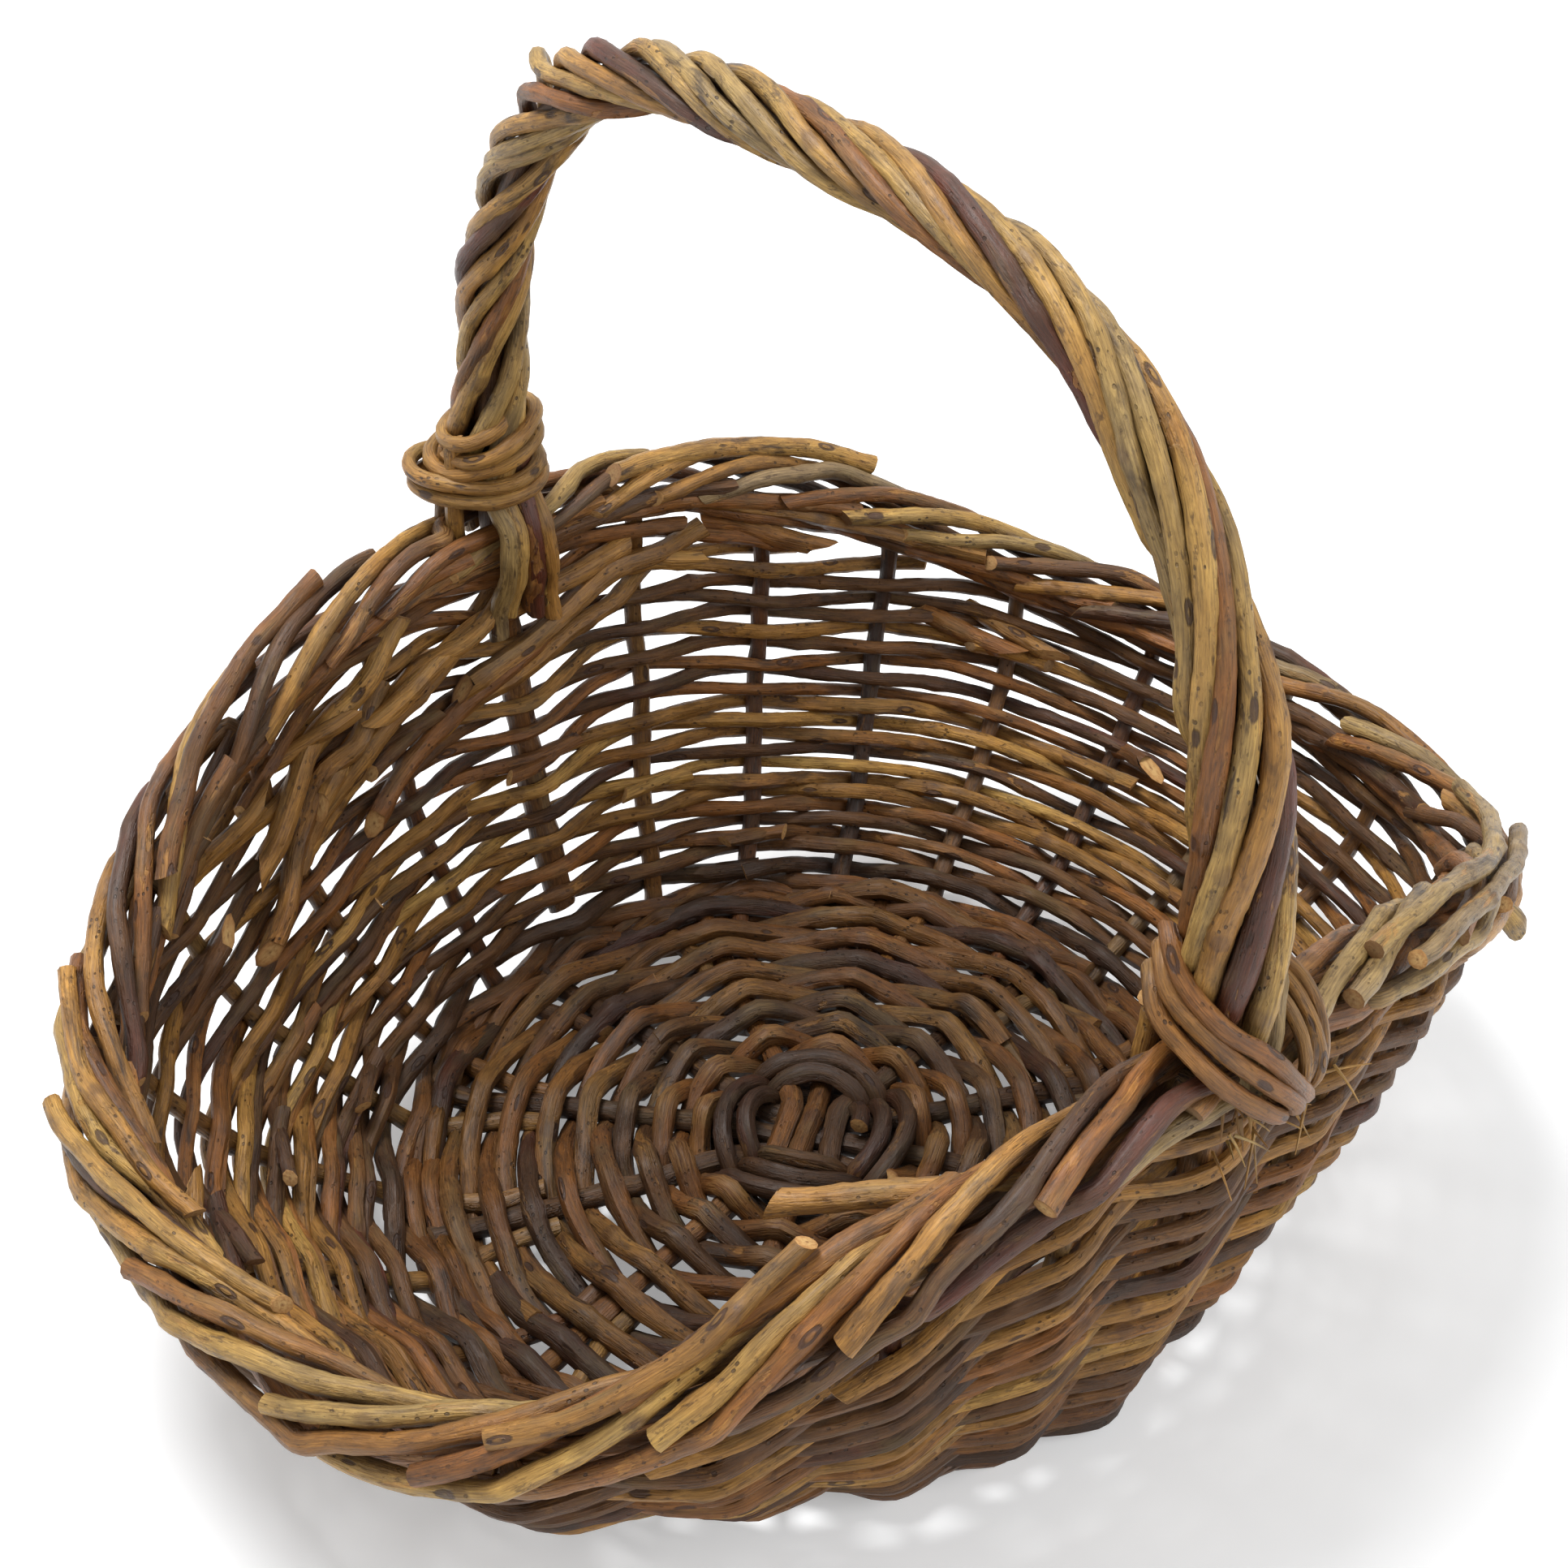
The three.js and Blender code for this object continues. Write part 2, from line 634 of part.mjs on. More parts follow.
function addHandleRods() {
  const start = handleRodStart;
  const end = archLine.total - handleRodStart;
  const steps = Math.ceil((TWIST_STEPS * (end - start)) / HANDLE_TWIST_PITCH);
  for (let rod = 0; rod < HANDLE_RODS; rod += 1) {
    const path = [];
    for (let index = 0; index <= steps; index += 1) {
      const distance = mix(start, end, index / steps);
      const angle = (rod / HANDLE_RODS + distance / HANDLE_TWIST_PITCH) * TURN;
      const frame = archFrame(distance);
      const out = frame.out.clone().multiplyScalar(Math.cos(angle));
      out.addScaledVector(frame.across, Math.sin(angle));
      const at = frame.at.clone().addScaledVector(out, twistRadiusAt(distance));
      path.push({ at, out, radius: handleRodRadiusAt(distance) });
    }
    addPiece(`handle_rod_${rod + 1}`, rodGeometry(path, 4), 'handle');
  }
}

// A lashing is one thin rod wound round the handle's foot, plainly just above the border here.
// Its corners stand out so that the flats between them keep clear of the handle.
const handleFootRadius = twistRadiusAt(0) + HANDLE_ROD_RADIUS;
const lashingCornerShare = 1 / Math.cos(Math.PI / LASHING_STEPS_PER_TURN);

function lashingRadiusAt(distance) {
  const handleRadius = twistRadiusAt(distance) + handleRodRadiusAt(distance);
  return (handleRadius + LASHING_RADIUS) * lashingCornerShare + SEAT;
}

function plainLashingPath() {
  const path = [];
  for (let index = 0; index <= LASHING_TURNS * LASHING_STEPS_PER_TURN; index += 1) {
    const turns = index / LASHING_STEPS_PER_TURN;
    const distance = archLine.total - lashingStart - turns * lashingPitch;
    const frame = archFrame(distance);
    const out = frame.out.clone().multiplyScalar(Math.cos(turns * TURN));
    out.addScaledVector(frame.across, -Math.sin(turns * TURN));
    const at = frame.at.clone().addScaledVector(out, lashingRadiusAt(distance));
    path.push({ at, out, radius: LASHING_RADIUS });
  }
  return path;
}

// The other foot's lashing crosses it: each loop lies above the border on one side of the
// handle and under the border on the other.
function crossedLashingPath() {
  const middle = rimPoint(0);
  const outward = new THREE.Vector3(1, 0, 0);
  const slope = new THREE.Vector3(0, -Math.cos(CROSSED_TILT), Math.sin(CROSSED_TILT));
  const onward = outward.clone().cross(slope);
  const reach = lashingRadiusAt(0) + CROSSED_SLACK;
  const slopeReach = reach + handleFootRadius * (1 / Math.cos(CROSSED_TILT) - 1);
  const path = [];
  for (let index = 0; index <= CROSSED_TURNS * LASHING_STEPS_PER_TURN; index += 1) {
    const turns = index / LASHING_STEPS_PER_TURN;
    const angle = turns * TURN;
    const offset = (turns - CROSSED_TURNS_OUT) * lashingPitch;
    const aboveBorder = Math.sin(angle) > 0;
    const clearOfOffset = aboveBorder ? Math.abs(offset) : -offset;
    const out = outward.clone().multiplyScalar(Math.cos(angle) * reach);
    out.addScaledVector(slope, Math.sin(angle) * (slopeReach + clearOfOffset));
    const at = middle.clone().add(out).addScaledVector(onward, offset);
    path.push({ at, out: out.normalize(), radius: LASHING_RADIUS });
  }
  return path;
}

// The least space between one loop of a winding and the next, measured on its points.
function leastLoopGap(path) {
  let least = Infinity;
  path.forEach((step, index) => {
    for (let other = index + LASHING_STEPS_PER_TURN / 2; other < path.length; other += 1) {
      const apart = step.at.distanceTo(path[other].at) - step.radius - path[other].radius;
      least = Math.min(least, apart);
    }
  });
  return least;
}

function addLashings() {
  const lashings = [
    ['lashing_right', crossedLashingPath()],
    ['lashing_left', plainLashingPath()],
  ];
  for (const [name, path] of lashings) {
    console.log(`${name} least gap between loops: ${leastLoopGap(path).toFixed(2)} mm`);
    addPiece(name, rodGeometry(path, 5), 'lashing');
  }
}

addSlath();
addBaseWeavers();
addFootWeavers();
addStakes();
addWallRows();
addPacking();
addBow();
addHandleRods();
addLashings();

export default basket;
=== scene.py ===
"""A small oval gathering basket of unpeeled willow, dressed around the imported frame.

Every rod follows the same rim, wall, base and arch as its solid, in millimetres here
and in metres in the scene. Places round the basket are given in turns, from +X.
"""

import math

import bpy
import numpy as np
from mathutils import Matrix


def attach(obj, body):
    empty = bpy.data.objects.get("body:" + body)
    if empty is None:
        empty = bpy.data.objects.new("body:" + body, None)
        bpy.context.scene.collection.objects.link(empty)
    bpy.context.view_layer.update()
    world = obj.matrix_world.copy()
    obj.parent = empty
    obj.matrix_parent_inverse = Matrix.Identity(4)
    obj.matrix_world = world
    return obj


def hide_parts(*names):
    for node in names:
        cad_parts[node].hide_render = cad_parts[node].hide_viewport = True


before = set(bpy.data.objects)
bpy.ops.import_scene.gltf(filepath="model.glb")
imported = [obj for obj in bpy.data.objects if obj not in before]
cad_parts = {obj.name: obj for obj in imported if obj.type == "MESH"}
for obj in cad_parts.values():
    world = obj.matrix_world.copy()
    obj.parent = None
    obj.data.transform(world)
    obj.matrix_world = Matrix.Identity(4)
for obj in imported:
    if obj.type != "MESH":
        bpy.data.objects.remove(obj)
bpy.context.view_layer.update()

MM = 0.001
TURN = 2 * math.pi
SEED = 71

# Sizes shared with the frame, in millimetres
RIM_HALF_WIDTH = 125
RIM_HALF_LENGTH = 168
RIM_SQUARENESS = 2.55
RIM_LEVEL = 99.5
RIM_SADDLE = 29
RIM_RIPPLE = 5.5
RIM_FOOT_HEIGHT = 134
BASE_RADIUS = 101
BASE_CROWN = 6
WALL_BELLY = 0.45
STICK_RADIUS = 3
BASE_WEAVER_RADIUS = 2.6
FOOT_WEAVER_RADIUS = 2.4
STAKE_RADIUS = 2.6
STAKE_TIP_RADIUS = 2.3
BORDER_ROD_RADIUS = 2.7
FRAME_WEAVER_RADIUS = 1.85
WEAVER_RADIUS = 2.2
WEAVER_TIP_RADIUS = 1.85
PACKING_RADIUS = 2.1
BOW_RADIUS = 4
BOW_TOP_RADIUS = 2.6
HANDLE_ROD_RADIUS = 2.7
HANDLE_ROD_TOP_RADIUS = 1.95
LASHING_RADIUS = 2.1
SEAT = 0.3
UPRIGHTS = 24
BASE_STICKS = 6
WALL_ROWS = 19
HANDLE_RODS = 7
BASE_WEAVE_START = 27
BASE_WEAVE_TURNS = 6.5
FOOT_WEAVE_LIFT = 5
FOOT_ROW_GAP = 1
HANDLE_HEIGHT = 285.5
SHOULDER_POWER = 0.67
RISE_POWER = 0.77
HANDLE_TAPER_POWER = 1.6
PACKING_ENDS = (-3, 3, -2, 2, -1)
PACKING_ROWS = 4

# Levels and lengths that follow from them
BASE_HALF_HEIGHT = BASE_WEAVER_RADIUS * math.cos(math.pi / 4)
BASE_LIFT = STICK_RADIUS + SEAT + BASE_HALF_HEIGHT
BASE_LEVEL = BASE_LIFT + BASE_HALF_HEIGHT - 0.5
BASE_WEAVE_END = BASE_RADIUS - 2 * BASE_WEAVER_RADIUS
BASE_ROW_PITCH = (BASE_WEAVE_END - BASE_WEAVE_START) / (BASE_WEAVE_TURNS + 0.5)
CROWN_RADIUS = BASE_WEAVE_END - 1.5 * BASE_ROW_PITCH
STICK_SPREAD = TURN / (2 * BASE_STICKS)
FIRST_STICK_ANGLE = STICK_SPREAD / 4
ROLL_RADIUS = 7.3
BORDER_DEPTH = 8.5
FOOT_PITCH = 2 * FOOT_WEAVER_RADIUS + FOOT_ROW_GAP
FIRST_WALL_ROW = FOOT_PITCH + FOOT_WEAVER_RADIUS + FOOT_ROW_GAP + FRAME_WEAVER_RADIUS
WALL_MARGIN = BORDER_DEPTH + 3 * SEAT + FRAME_WEAVER_RADIUS
LASHING_ROOM = 6.5
NUDGE = 0.001


def draws(seed):
    return np.random.default_rng([SEED, seed])


def mix(low, high, share):
    return low + (high - low) * share


def smooth_step(value):
    share = np.clip(value, 0, 1)
    return share * share * (3 - 2 * share)


def hump(value, middle, width):
    return np.exp(-((value - middle) / width) ** 2)


def zigzag(steps, height):
    """Up at even steps and down at odd ones, in straight runs."""
    return np.arcsin(np.cos(math.pi * steps)) * (height / math.pi)


def unit(vectors):
    return vectors / np.linalg.norm(vectors, axis=-1, keepdims=True)


def columns(*parts):
    return np.stack(np.broadcast_arrays(*parts), axis=-1)


def run_lengths(points):
    """How far along a line each of its points lies."""
    steps = np.linalg.norm(np.diff(points, axis=-2), axis=-1)
    return np.concatenate([np.zeros(steps.shape[:-1] + (1,)), np.cumsum(steps, axis=-1)], axis=-1)


def moved(at, out, up, outward, upward):
    """Points moved by so much outward and upward."""
    def column(values):
        return np.broadcast_to(np.asarray(values, float), (len(at),))[:, None]
    return at + out * column(outward) + up * column(upward)


# The rim: an oval with full shoulders, high at the handle's feet and low at the ends
def rim_at_angle(angle):
    across = np.abs(np.cos(angle)) / RIM_HALF_WIDTH
    along = np.abs(np.sin(angle)) / RIM_HALF_LENGTH
    radius = (across**RIM_SQUARENESS + along**RIM_SQUARENESS) ** (-1 / RIM_SQUARENESS)
    half = RIM_SQUARENESS / 2
    phase = np.arctan2((along * radius) ** half, (across * radius) ** half)
    height = RIM_LEVEL + RIM_SADDLE * np.cos(2 * phase) + RIM_RIPPLE * np.cos(4 * phase)
    return columns(radius * np.cos(angle), radius * np.sin(angle), height)


RIM_ANGLES = np.linspace(0, TURN, 1441)
RIM_LENGTHS = run_lengths(rim_at_angle(RIM_ANGLES))
RIM_TOTAL = RIM_LENGTHS[-1]
RIM_LINE = rim_at_angle(RIM_ANGLES[::4])


def rim_point(turns):
    whole = np.mod(turns, 1)
    return rim_at_angle(np.interp(whole * RIM_TOTAL, RIM_LENGTHS, RIM_ANGLES))


def base_point(angle, radius, lift=0.0):
    """A place on the base, which rises to a low crown in its middle."""
    height = BASE_LEVEL + BASE_CROWN * np.maximum(0, 1 - (radius / CROWN_RADIUS) ** 2)
    return columns(radius * np.cos(angle), radius * np.sin(angle), height + lift)


# The wall, from the edge of the base to the rim
WALL_SHARES = np.linspace(0, 1, 25)


def wall_at_share(turns, share):
    low = base_point(turns * TURN, float(BASE_RADIUS))
    high = rim_point(turns)
    spread = share + 2 * WALL_BELLY * share * (1 - share)
    return mix(low, high, columns(spread, spread, share))


def wall_lengths(turns):
    return run_lengths(wall_at_share(turns[:, None], WALL_SHARES[None, :]))


def wall_total(turns):
    return wall_lengths(np.atleast_1d(np.asarray(turns, float)))[:, -1]


def wall_point(turns, distance):
    lengths = wall_lengths(turns)
    held = np.clip(distance, 0, lengths[:, -1])
    rows = np.arange(len(turns))
    step = np.clip((lengths <= held[:, None]).sum(1) - 1, 0, len(WALL_SHARES) - 2)
    low, high = lengths[rows, step], lengths[rows, step + 1]
    share = (step + (held - low) / (high - low)) / (len(WALL_SHARES) - 1)
    top = unit(wall_at_share(turns, 1.0) - wall_at_share(turns, 0.99))
    return wall_at_share(turns, share) + top * (distance - held)[:, None]


def wall_frame(turns, distance):
    """Places on the wall and its own directions there, outward and upward."""
    turns = np.atleast_1d(np.asarray(turns, float))
    distance = np.broadcast_to(np.asarray(distance, float), turns.shape)
    at = wall_point(turns, distance)
    along = unit(wall_point(turns + NUDGE, distance) - wall_point(turns - NUDGE, distance))
    up = unit(wall_point(turns, distance + 1) - wall_point(turns, np.maximum(distance - 1, 0)))
    out = unit(np.cross(along, up))
    return at, out, up


def off_wall(turns, distance, outward):
    at, out, up = wall_frame(turns, distance)
    return moved(at, out, up, outward, 0.0)


def border_place(turns, outward, upward):
    """Points beside the rim line, off it by so much outward and upward."""
    turns = np.atleast_1d(np.asarray(turns, float))
    at, out, _ = wall_frame(turns, wall_total(turns))
    along = unit(rim_point(turns + NUDGE) - rim_point(turns - NUDGE))
    return moved(at, out, unit(np.cross(out, along)), outward, upward)


# The handle's arch, from the foot on +X over to the foot on -X
def arch_at_share(share):
    angle = np.asarray(share, float) * math.pi
    reach = np.sign(np.cos(angle)) * np.abs(np.cos(angle)) ** SHOULDER_POWER
    rise = np.abs(np.sin(angle)) ** RISE_POWER
    return columns(reach * RIM_HALF_WIDTH, 0.0, mix(RIM_FOOT_HEIGHT, HANDLE_HEIGHT, rise))


ARCH_SHARES = np.linspace(0, 1, 721)
ARCH_LENGTHS = run_lengths(arch_at_share(ARCH_SHARES))
ARCH_TOTAL = ARCH_LENGTHS[-1]
ARCH_LINE = arch_at_share(ARCH_SHARES[::3])


def arch_point(distance):
    return arch_at_share(np.interp(distance, ARCH_LENGTHS, ARCH_SHARES))


def arch_frame(distance):
    """The arch and its own directions; below its feet it runs on straight down."""
    distance = np.asarray(distance, float)
    held = np.clip(distance, 1, ARCH_TOTAL - 1)
    along = unit(arch_point(held + 1) - arch_point(held - 1))
    on_arch = np.clip(distance, 0, ARCH_TOTAL)
    at = arch_point(on_arch) + along * (distance - on_arch)[..., None]
    across = np.broadcast_to(np.array([0.0, 1.0, 0.0]), at.shape)
    return at, unit(np.cross(across, along)), across


# Rods: lengths in millimetres, heights as shares of the radius
ROUNDING_STEP = 1.2
SWAY_LENGTHS = (22, 70)
BEND_GAPS = (24, 38)
LUMP_LENGTHS = (9, 50)
TWIST_LENGTHS = (60, 200)
RIDGES = ((3, 0.028), (5, 0.018))
ROUGHNESS = 0.024
BUD_GAPS = (24, 60)
BUD_LENGTH = 2.6
CUT_BEVEL = 0.12
CUT_SHARE = 0.86
PAINTED_SHADE_FADE = 12


def even_path(points, radii, spacing, rounding):
    """The same line with even steps, its corners rounded a little."""
    points = np.asarray(points, float)
    radii = np.broadcast_to(np.asarray(radii, float), (len(points),))
    for step, passes in ((ROUNDING_STEP, rounding), (spacing, 0)):
        lengths = run_lengths(points)
        count = max(4, int(round(lengths[-1] / step)) + 1)
        wanted = np.linspace(0, lengths[-1], count)
        points = np.stack([np.interp(wanted, lengths, row) for row in points.T], axis=1)
        radii = np.interp(wanted, lengths, radii)
        for _ in range(passes):
            points[1:-1] = (points[:-2] + 2 * points[1:-1] + points[2:]) / 4
    return points, radii, wanted


def waves(rng, length_along, shortest, longest):
    """A smooth random wave of about unit height along a rod."""
    total = np.zeros_like(length_along)
    for _ in range(4):
        total += np.sin(TURN * length_along / rng.uniform(shortest, longest) + rng.uniform(0, TURN))
    return total / math.sqrt(2)


def section_frames(points):
    """Tangents and two side directions that don't twist along the line."""
    tangents = unit(np.gradient(points, axis=0))
    first = np.cross(tangents[0], [0.31, 0.17, 0.93])
    sides = [first / np.linalg.norm(first)]
    for tangent in tangents[1:]:
        side = sides[-1] - tangent * np.dot(sides[-1], tangent)
        sides.append(side / np.linalg.norm(side))
    sides = np.array(sides)
    return tangents, sides, np.cross(tangents, sides)


def buds_along(rng, lengths, angles):
    """Buds at random places: how far they swell the rod, and the scars they leave."""
    swell = np.zeros((len(lengths), len(angles)))
    scar = np.zeros_like(swell)
    place = rng.uniform(4, BUD_GAPS[1])
    while place < lengths[-1] - 3:
        facing = rng.uniform(0, TURN)
        size = rng.uniform(0.5, 1.0)
        away = (lengths - place)[:, None] / BUD_LENGTH
        turned = 1 - np.cos(angles[None, :] - facing)
        swell += 0.07 * size * np.exp(-((away / 1.4) ** 2))
        swell += 0.26 * size * np.exp(-(away**2) - 2.6 * turned)
        scar += size * np.exp(-((away / 0.9) ** 2) - 2.2 * turned)
        place += rng.uniform(*BUD_GAPS)
    return swell, scar


def sharp_bends(tangents):
    bend = np.zeros(len(tangents))
    bend[1:-1] = 1 - np.sum(tangents[2:] * tangents[:-2], axis=1)
    return np.maximum(bend, np.maximum(np.roll(bend, 1), np.roll(bend, -1)))


def cut_ends(flat, grain, tangents, sides):
    """Both ends of a rod: a narrow bevel, and a fan of faces round the middle."""
    points, values, faces = [], [], []
    for end, bevel in ((0, -CUT_BEVEL), (-1, CUT_BEVEL)):
        start = 0 if end == 0 else len(flat) - sides
        inner = len(flat) + len(points)
        edge = flat[start:start + sides]
        centre = edge.mean(axis=0)
        outward = tangents[end] * bevel
        points.extend([*(centre + (edge - centre) * CUT_SHARE + outward), centre + outward])
        values.extend(grain[start:start + sides] * np.array([1, CUT_SHARE, CUT_SHARE]))
        values.append(np.array([grain[start][0], 0.0, 0.0]))
        for index in range(sides):
            following = (index + 1) % sides
            quad = (start + following, start + index, inner + index, inner + following)
            fan = (inner + following, inner + index, inner + sides)
            faces.extend([quad, fan] if end == 0 else [quad[::-1], fan[::-1]])
    return np.array(points), np.array(values), faces


def make_rod(points, radii, seed, sides=8, spacing=2.4, rounding=4, wobble=0.35, lumps=0.05,
             tone=(0.3, 0.9), slants=(0.3, 0.3), painted_shade_to=-20.0, stain=None, core=None):
    """One willow rod as vertices, faces and the values its bark is painted by."""
    rng = draws(seed)
    points, radii, lengths = even_path(points, radii, spacing, rounding)
    tangents, side, other = section_frames(points)
    sway = waves(rng, lengths, *SWAY_LENGTHS), waves(rng, lengths, *SWAY_LENGTHS)
    bends = np.arange(0, lengths[-1] + 60, rng.uniform(*BEND_GAPS))
    sway = [soft * 0.7 + 1.1 * np.interp(lengths, bends, rng.normal(size=len(bends)))
            for soft in sway]
    points = points + wobble * (side * sway[0][:, None] + other * sway[1][:, None])
    radii = radii * (1 + lumps * waves(rng, lengths, *LUMP_LENGTHS) * 0.6)
    angles = np.arange(sides) / sides * TURN
    cosine, sine = np.cos(angles), np.sin(angles)
    swell, scar = buds_along(rng, lengths, angles)
    turned = angles[None, :] + 0.5 * waves(rng, lengths, *TWIST_LENGTHS)[:, None]
    ridges = sum(np.sin(folds * turned + rng.uniform(0, TURN)) * height for folds, height in RIDGES)
    rough = ROUGHNESS * rng.normal(size=swell.shape)
    thickness = radii[:, None] * (1 + swell + ridges + rough)
    ring = side[:, None, :] * cosine[:, None] + other[:, None, :] * sine[:, None]
    vertices = points[:, None, :] + ring * thickness[:, :, None]
    for end, slant in zip((0, -1), slants):
        lean = rng.uniform(0, TURN)
        vertices[end] += tangents[end] * (slant * radii[end] * np.cos(angles - lean))[:, None]
    along = (lengths + rng.uniform(0, 5000))[:, None]
    grain = columns(along, radii[:, None] * cosine, radii[:, None] * sine).reshape(-1, 3)
    # Painted shade: the rod is darkened up to the given length (a stake's part inside the wall),
    # and, given a core line, on its sides that face inward toward that line
    dark = 1 - smooth_step((lengths - painted_shade_to) / PAINTED_SHADE_FADE)[:, None]
    if core is not None:
        nearest = np.argmin(np.linalg.norm(points[:, None, :] - core[None, :, :], axis=2), axis=1)
        away = unit(points - core[nearest] + 1e-6)
        facing = np.sum(ring * away[:, None, :], axis=2)
        dark = np.maximum(dark, 0.9 * smooth_step((0.4 - facing) / 0.9))
    marks_and_shade = columns(scar, sharp_bends(tangents)[:, None], dark).reshape(-1, 3)
    corner = np.arange(sides)
    after = (corner + 1) % sides
    rows = np.arange(len(points) - 1)[:, None] * sides
    faces = columns(rows + corner, rows + after, rows + sides + after, rows + sides + corner)
    flat = vertices.reshape(-1, 3)
    end_points, end_values, cut = cut_ends(flat, grain, tangents, sides)
    flat = np.vstack([flat, end_points])
    grain = np.vstack([grain, end_values])
    marks_and_shade = np.vstack([marks_and_shade, np.zeros((len(end_points), 3))])
    picked = (rng.uniform(*tone), rng.uniform() if stain is None else stain, rng.uniform())
    tones = np.broadcast_to(np.array(picked), (len(flat), 3))
    return flat, faces.reshape(-1, 4).tolist(), cut, grain, marks_and_shade, tones


def place_object(name, data):
    thing = bpy.data.objects.new(name, data)
    bpy.context.scene.collection.objects.link(thing)
    return thing


def add_piece(name, rods, slot_name, *nodes, bark=None):
    """Joins rods into one mesh object that rides on the basket."""
    points, around, ends, grain, marks_and_shade, tones = zip(*rods)
    starts = np.cumsum([0, *map(len, points)]).tolist()
    faces, cut_faces = (
        [tuple(v + start for v in face) for start, group in zip(starts, groups) for face in group]
        for groups in (around, ends))
    points = np.vstack(points) * MM
    points[:, 2] = np.maximum(points[:, 2], 0)
    mesh = bpy.data.meshes.new(name)
    mesh.from_pydata(points.tolist(), [], faces + cut_faces)
    for label, data, scale in (("grain", grain, MM), ("marks_and_shade", marks_and_shade, 1), ("tone", tones, 1)):
        attribute = mesh.attributes.new(label, "FLOAT_VECTOR", "POINT")
        attribute.data.foreach_set("vector", np.float32(np.vstack(data) * scale).ravel())
    mesh.materials.append(bark or BARKS[slot_name])
    mesh.materials.append(CUT_WOOD)
    index = np.zeros(len(mesh.polygons), dtype=np.int32)
    index[len(faces):] = 1
    mesh.polygons.foreach_set("material_index", index)
    mesh.polygons.foreach_set("use_smooth", np.ones(len(mesh.polygons), dtype=bool))
    mesh.update()
    mesh.set_sharp_from_angle(angle=math.radians(48))
    piece = place_object(name, mesh)
    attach(piece, "root")
    if nodes:
        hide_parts(*nodes)


# Materials
def linear(red, green, blue):
    def channel(value):
        value /= 255
        return value / 12.92 if value <= 0.04045 else ((value + 0.055) / 1.055) ** 2.4
    return (channel(red), channel(green), channel(blue), 1.0)


class Nodes:
    """Short names for building the node tree of a material or the world."""

    def __init__(self, owner):
        owner.use_nodes = True
        self.tree = owner.node_tree
        self.tree.nodes.clear()

    def add(self, kind, inputs=None, **settings):
        """A new node with its sockets filled, by number or name."""
        node = self.tree.nodes.new("ShaderNode" + kind)
        for key, value in settings.items():
            setattr(node, key, value)
        for socket, value in (inputs or {}).items():
            if isinstance(value, bpy.types.NodeSocket):
                self.tree.links.new(value, node.inputs[socket])
            else:
                node.inputs[socket].default_value = value
        return node

    def attribute(self, name):
        return self.add("Attribute", attribute_name=name).outputs["Vector"]

    def split(self, name):
        return self.add("SeparateXYZ", {0: self.attribute(name)}).outputs

    def math(self, operation, first, second, clamp=False):
        inputs = {0: first, 1: second}
        return self.add("Math", inputs, operation=operation, use_clamp=clamp).outputs[0]

    def times(self, first, second):
        return self.math("MULTIPLY", first, second)

    def plus(self, first, second):
        return self.math("ADD", first, second)

    def length(self, vector):
        return self.add("VectorMath", {0: vector}, operation="LENGTH").outputs["Value"]

    def stretched(self, grain, along, around):
        inputs = {0: grain, 1: (along, around, around)}
        return self.add("VectorMath", inputs, operation="MULTIPLY").outputs[0]

    def noise(self, grain, along, around, detail=3.0, roughness=0.55, distortion=0.0):
        inputs = {"Vector": self.stretched(grain, along, around), "Scale": 1.0, "Detail": detail,
                  "Roughness": roughness, "Distortion": distortion}
        return self.add("TexNoise", inputs).outputs["Fac"]

    def cells(self, grain, along, around):
        inputs = {"Vector": self.stretched(grain, along, around), "Scale": 1.0}
        return self.add("TexVoronoi", inputs).outputs["Distance"]

    def span(self, value, low, high, to_low=0.0, to_high=1.0):
        inputs = {"Value": value, "From Min": low, "From Max": high,
                  "To Min": to_low, "To Max": to_high}
        return self.add("MapRange", inputs, clamp=True).outputs["Result"]

    def blend(self, share, first, second, mode="MIX"):
        inputs = {0: share, 6: first, 7: second}
        return self.add("Mix", inputs, data_type="RGBA", blend_type=mode).outputs[2]

    def shaded(self, color, by, share=1.0):
        return self.blend(share, color, by, "MULTIPLY")

    def shades(self, value, stops):
        return self.ramp(value, stops, lambda *shade: (*shade, 1))

    def ramp(self, value, stops, convert=linear):
        node = self.add("ValToRGB", {0: value})
        elements = node.color_ramp.elements
        while len(elements) < len(stops):
            elements.new(0.5)
        for element, (place, *color) in zip(elements, stops):
            element.position = place
            element.color = convert(*color)
        return node.outputs[0]

    def bump(self, height, strength, distance):
        inputs = {"Strength": strength, "Distance": distance, "Height": height}
        return self.add("Bump", inputs).outputs[0]

    def white_rays(self):
        """One for the rays that see the plain white background, nought for those that light."""
        path = self.add("LightPath").outputs
        seen = self.math("MAXIMUM", path["Is Camera Ray"], path["Is Glossy Ray"])
        return self.math("MAXIMUM", seen, path["Is Transmission Ray"])


# Colours at places of a ramp, as red, green and blue up to 255
BARK_STOPS = (
    (0.00, 98, 52, 38), (0.12, 80, 56, 38), (0.26, 112, 80, 48),
    (0.40, 150, 102, 54), (0.54, 152, 116, 64), (0.68, 180, 138, 76),
    (0.82, 196, 166, 102), (0.92, 172, 152, 106), (1.00, 150, 134, 108),
)
PEELED_STOPS = ((0.5, 176, 118, 56), (0.62, 206, 160, 92), (0.75, 150, 96, 58))
CUT_STOPS = ((0.0, 120, 78, 44), (0.16, 206, 168, 110), (0.66, 190, 144, 88), (0.9, 110, 74, 44))

# Shades that a colour is multiplied by
FIBRE_SHADES = ((0.3, 0.42, 0.37, 0.32), (0.5, 0.86, 0.83, 0.78), (0.66, 1.18, 1.16, 1.1))
DEPTH_SHADES = ((0.3, 0.6, 0.56, 0.52), (0.68, 1.12, 1.1, 1.06))
# Painted shade, multiplied into the bark on rods' inward sides in crevices and on the stakes inside
# the wall
PAINTED_SHADE = (0.44, 0.38, 0.35, 1)


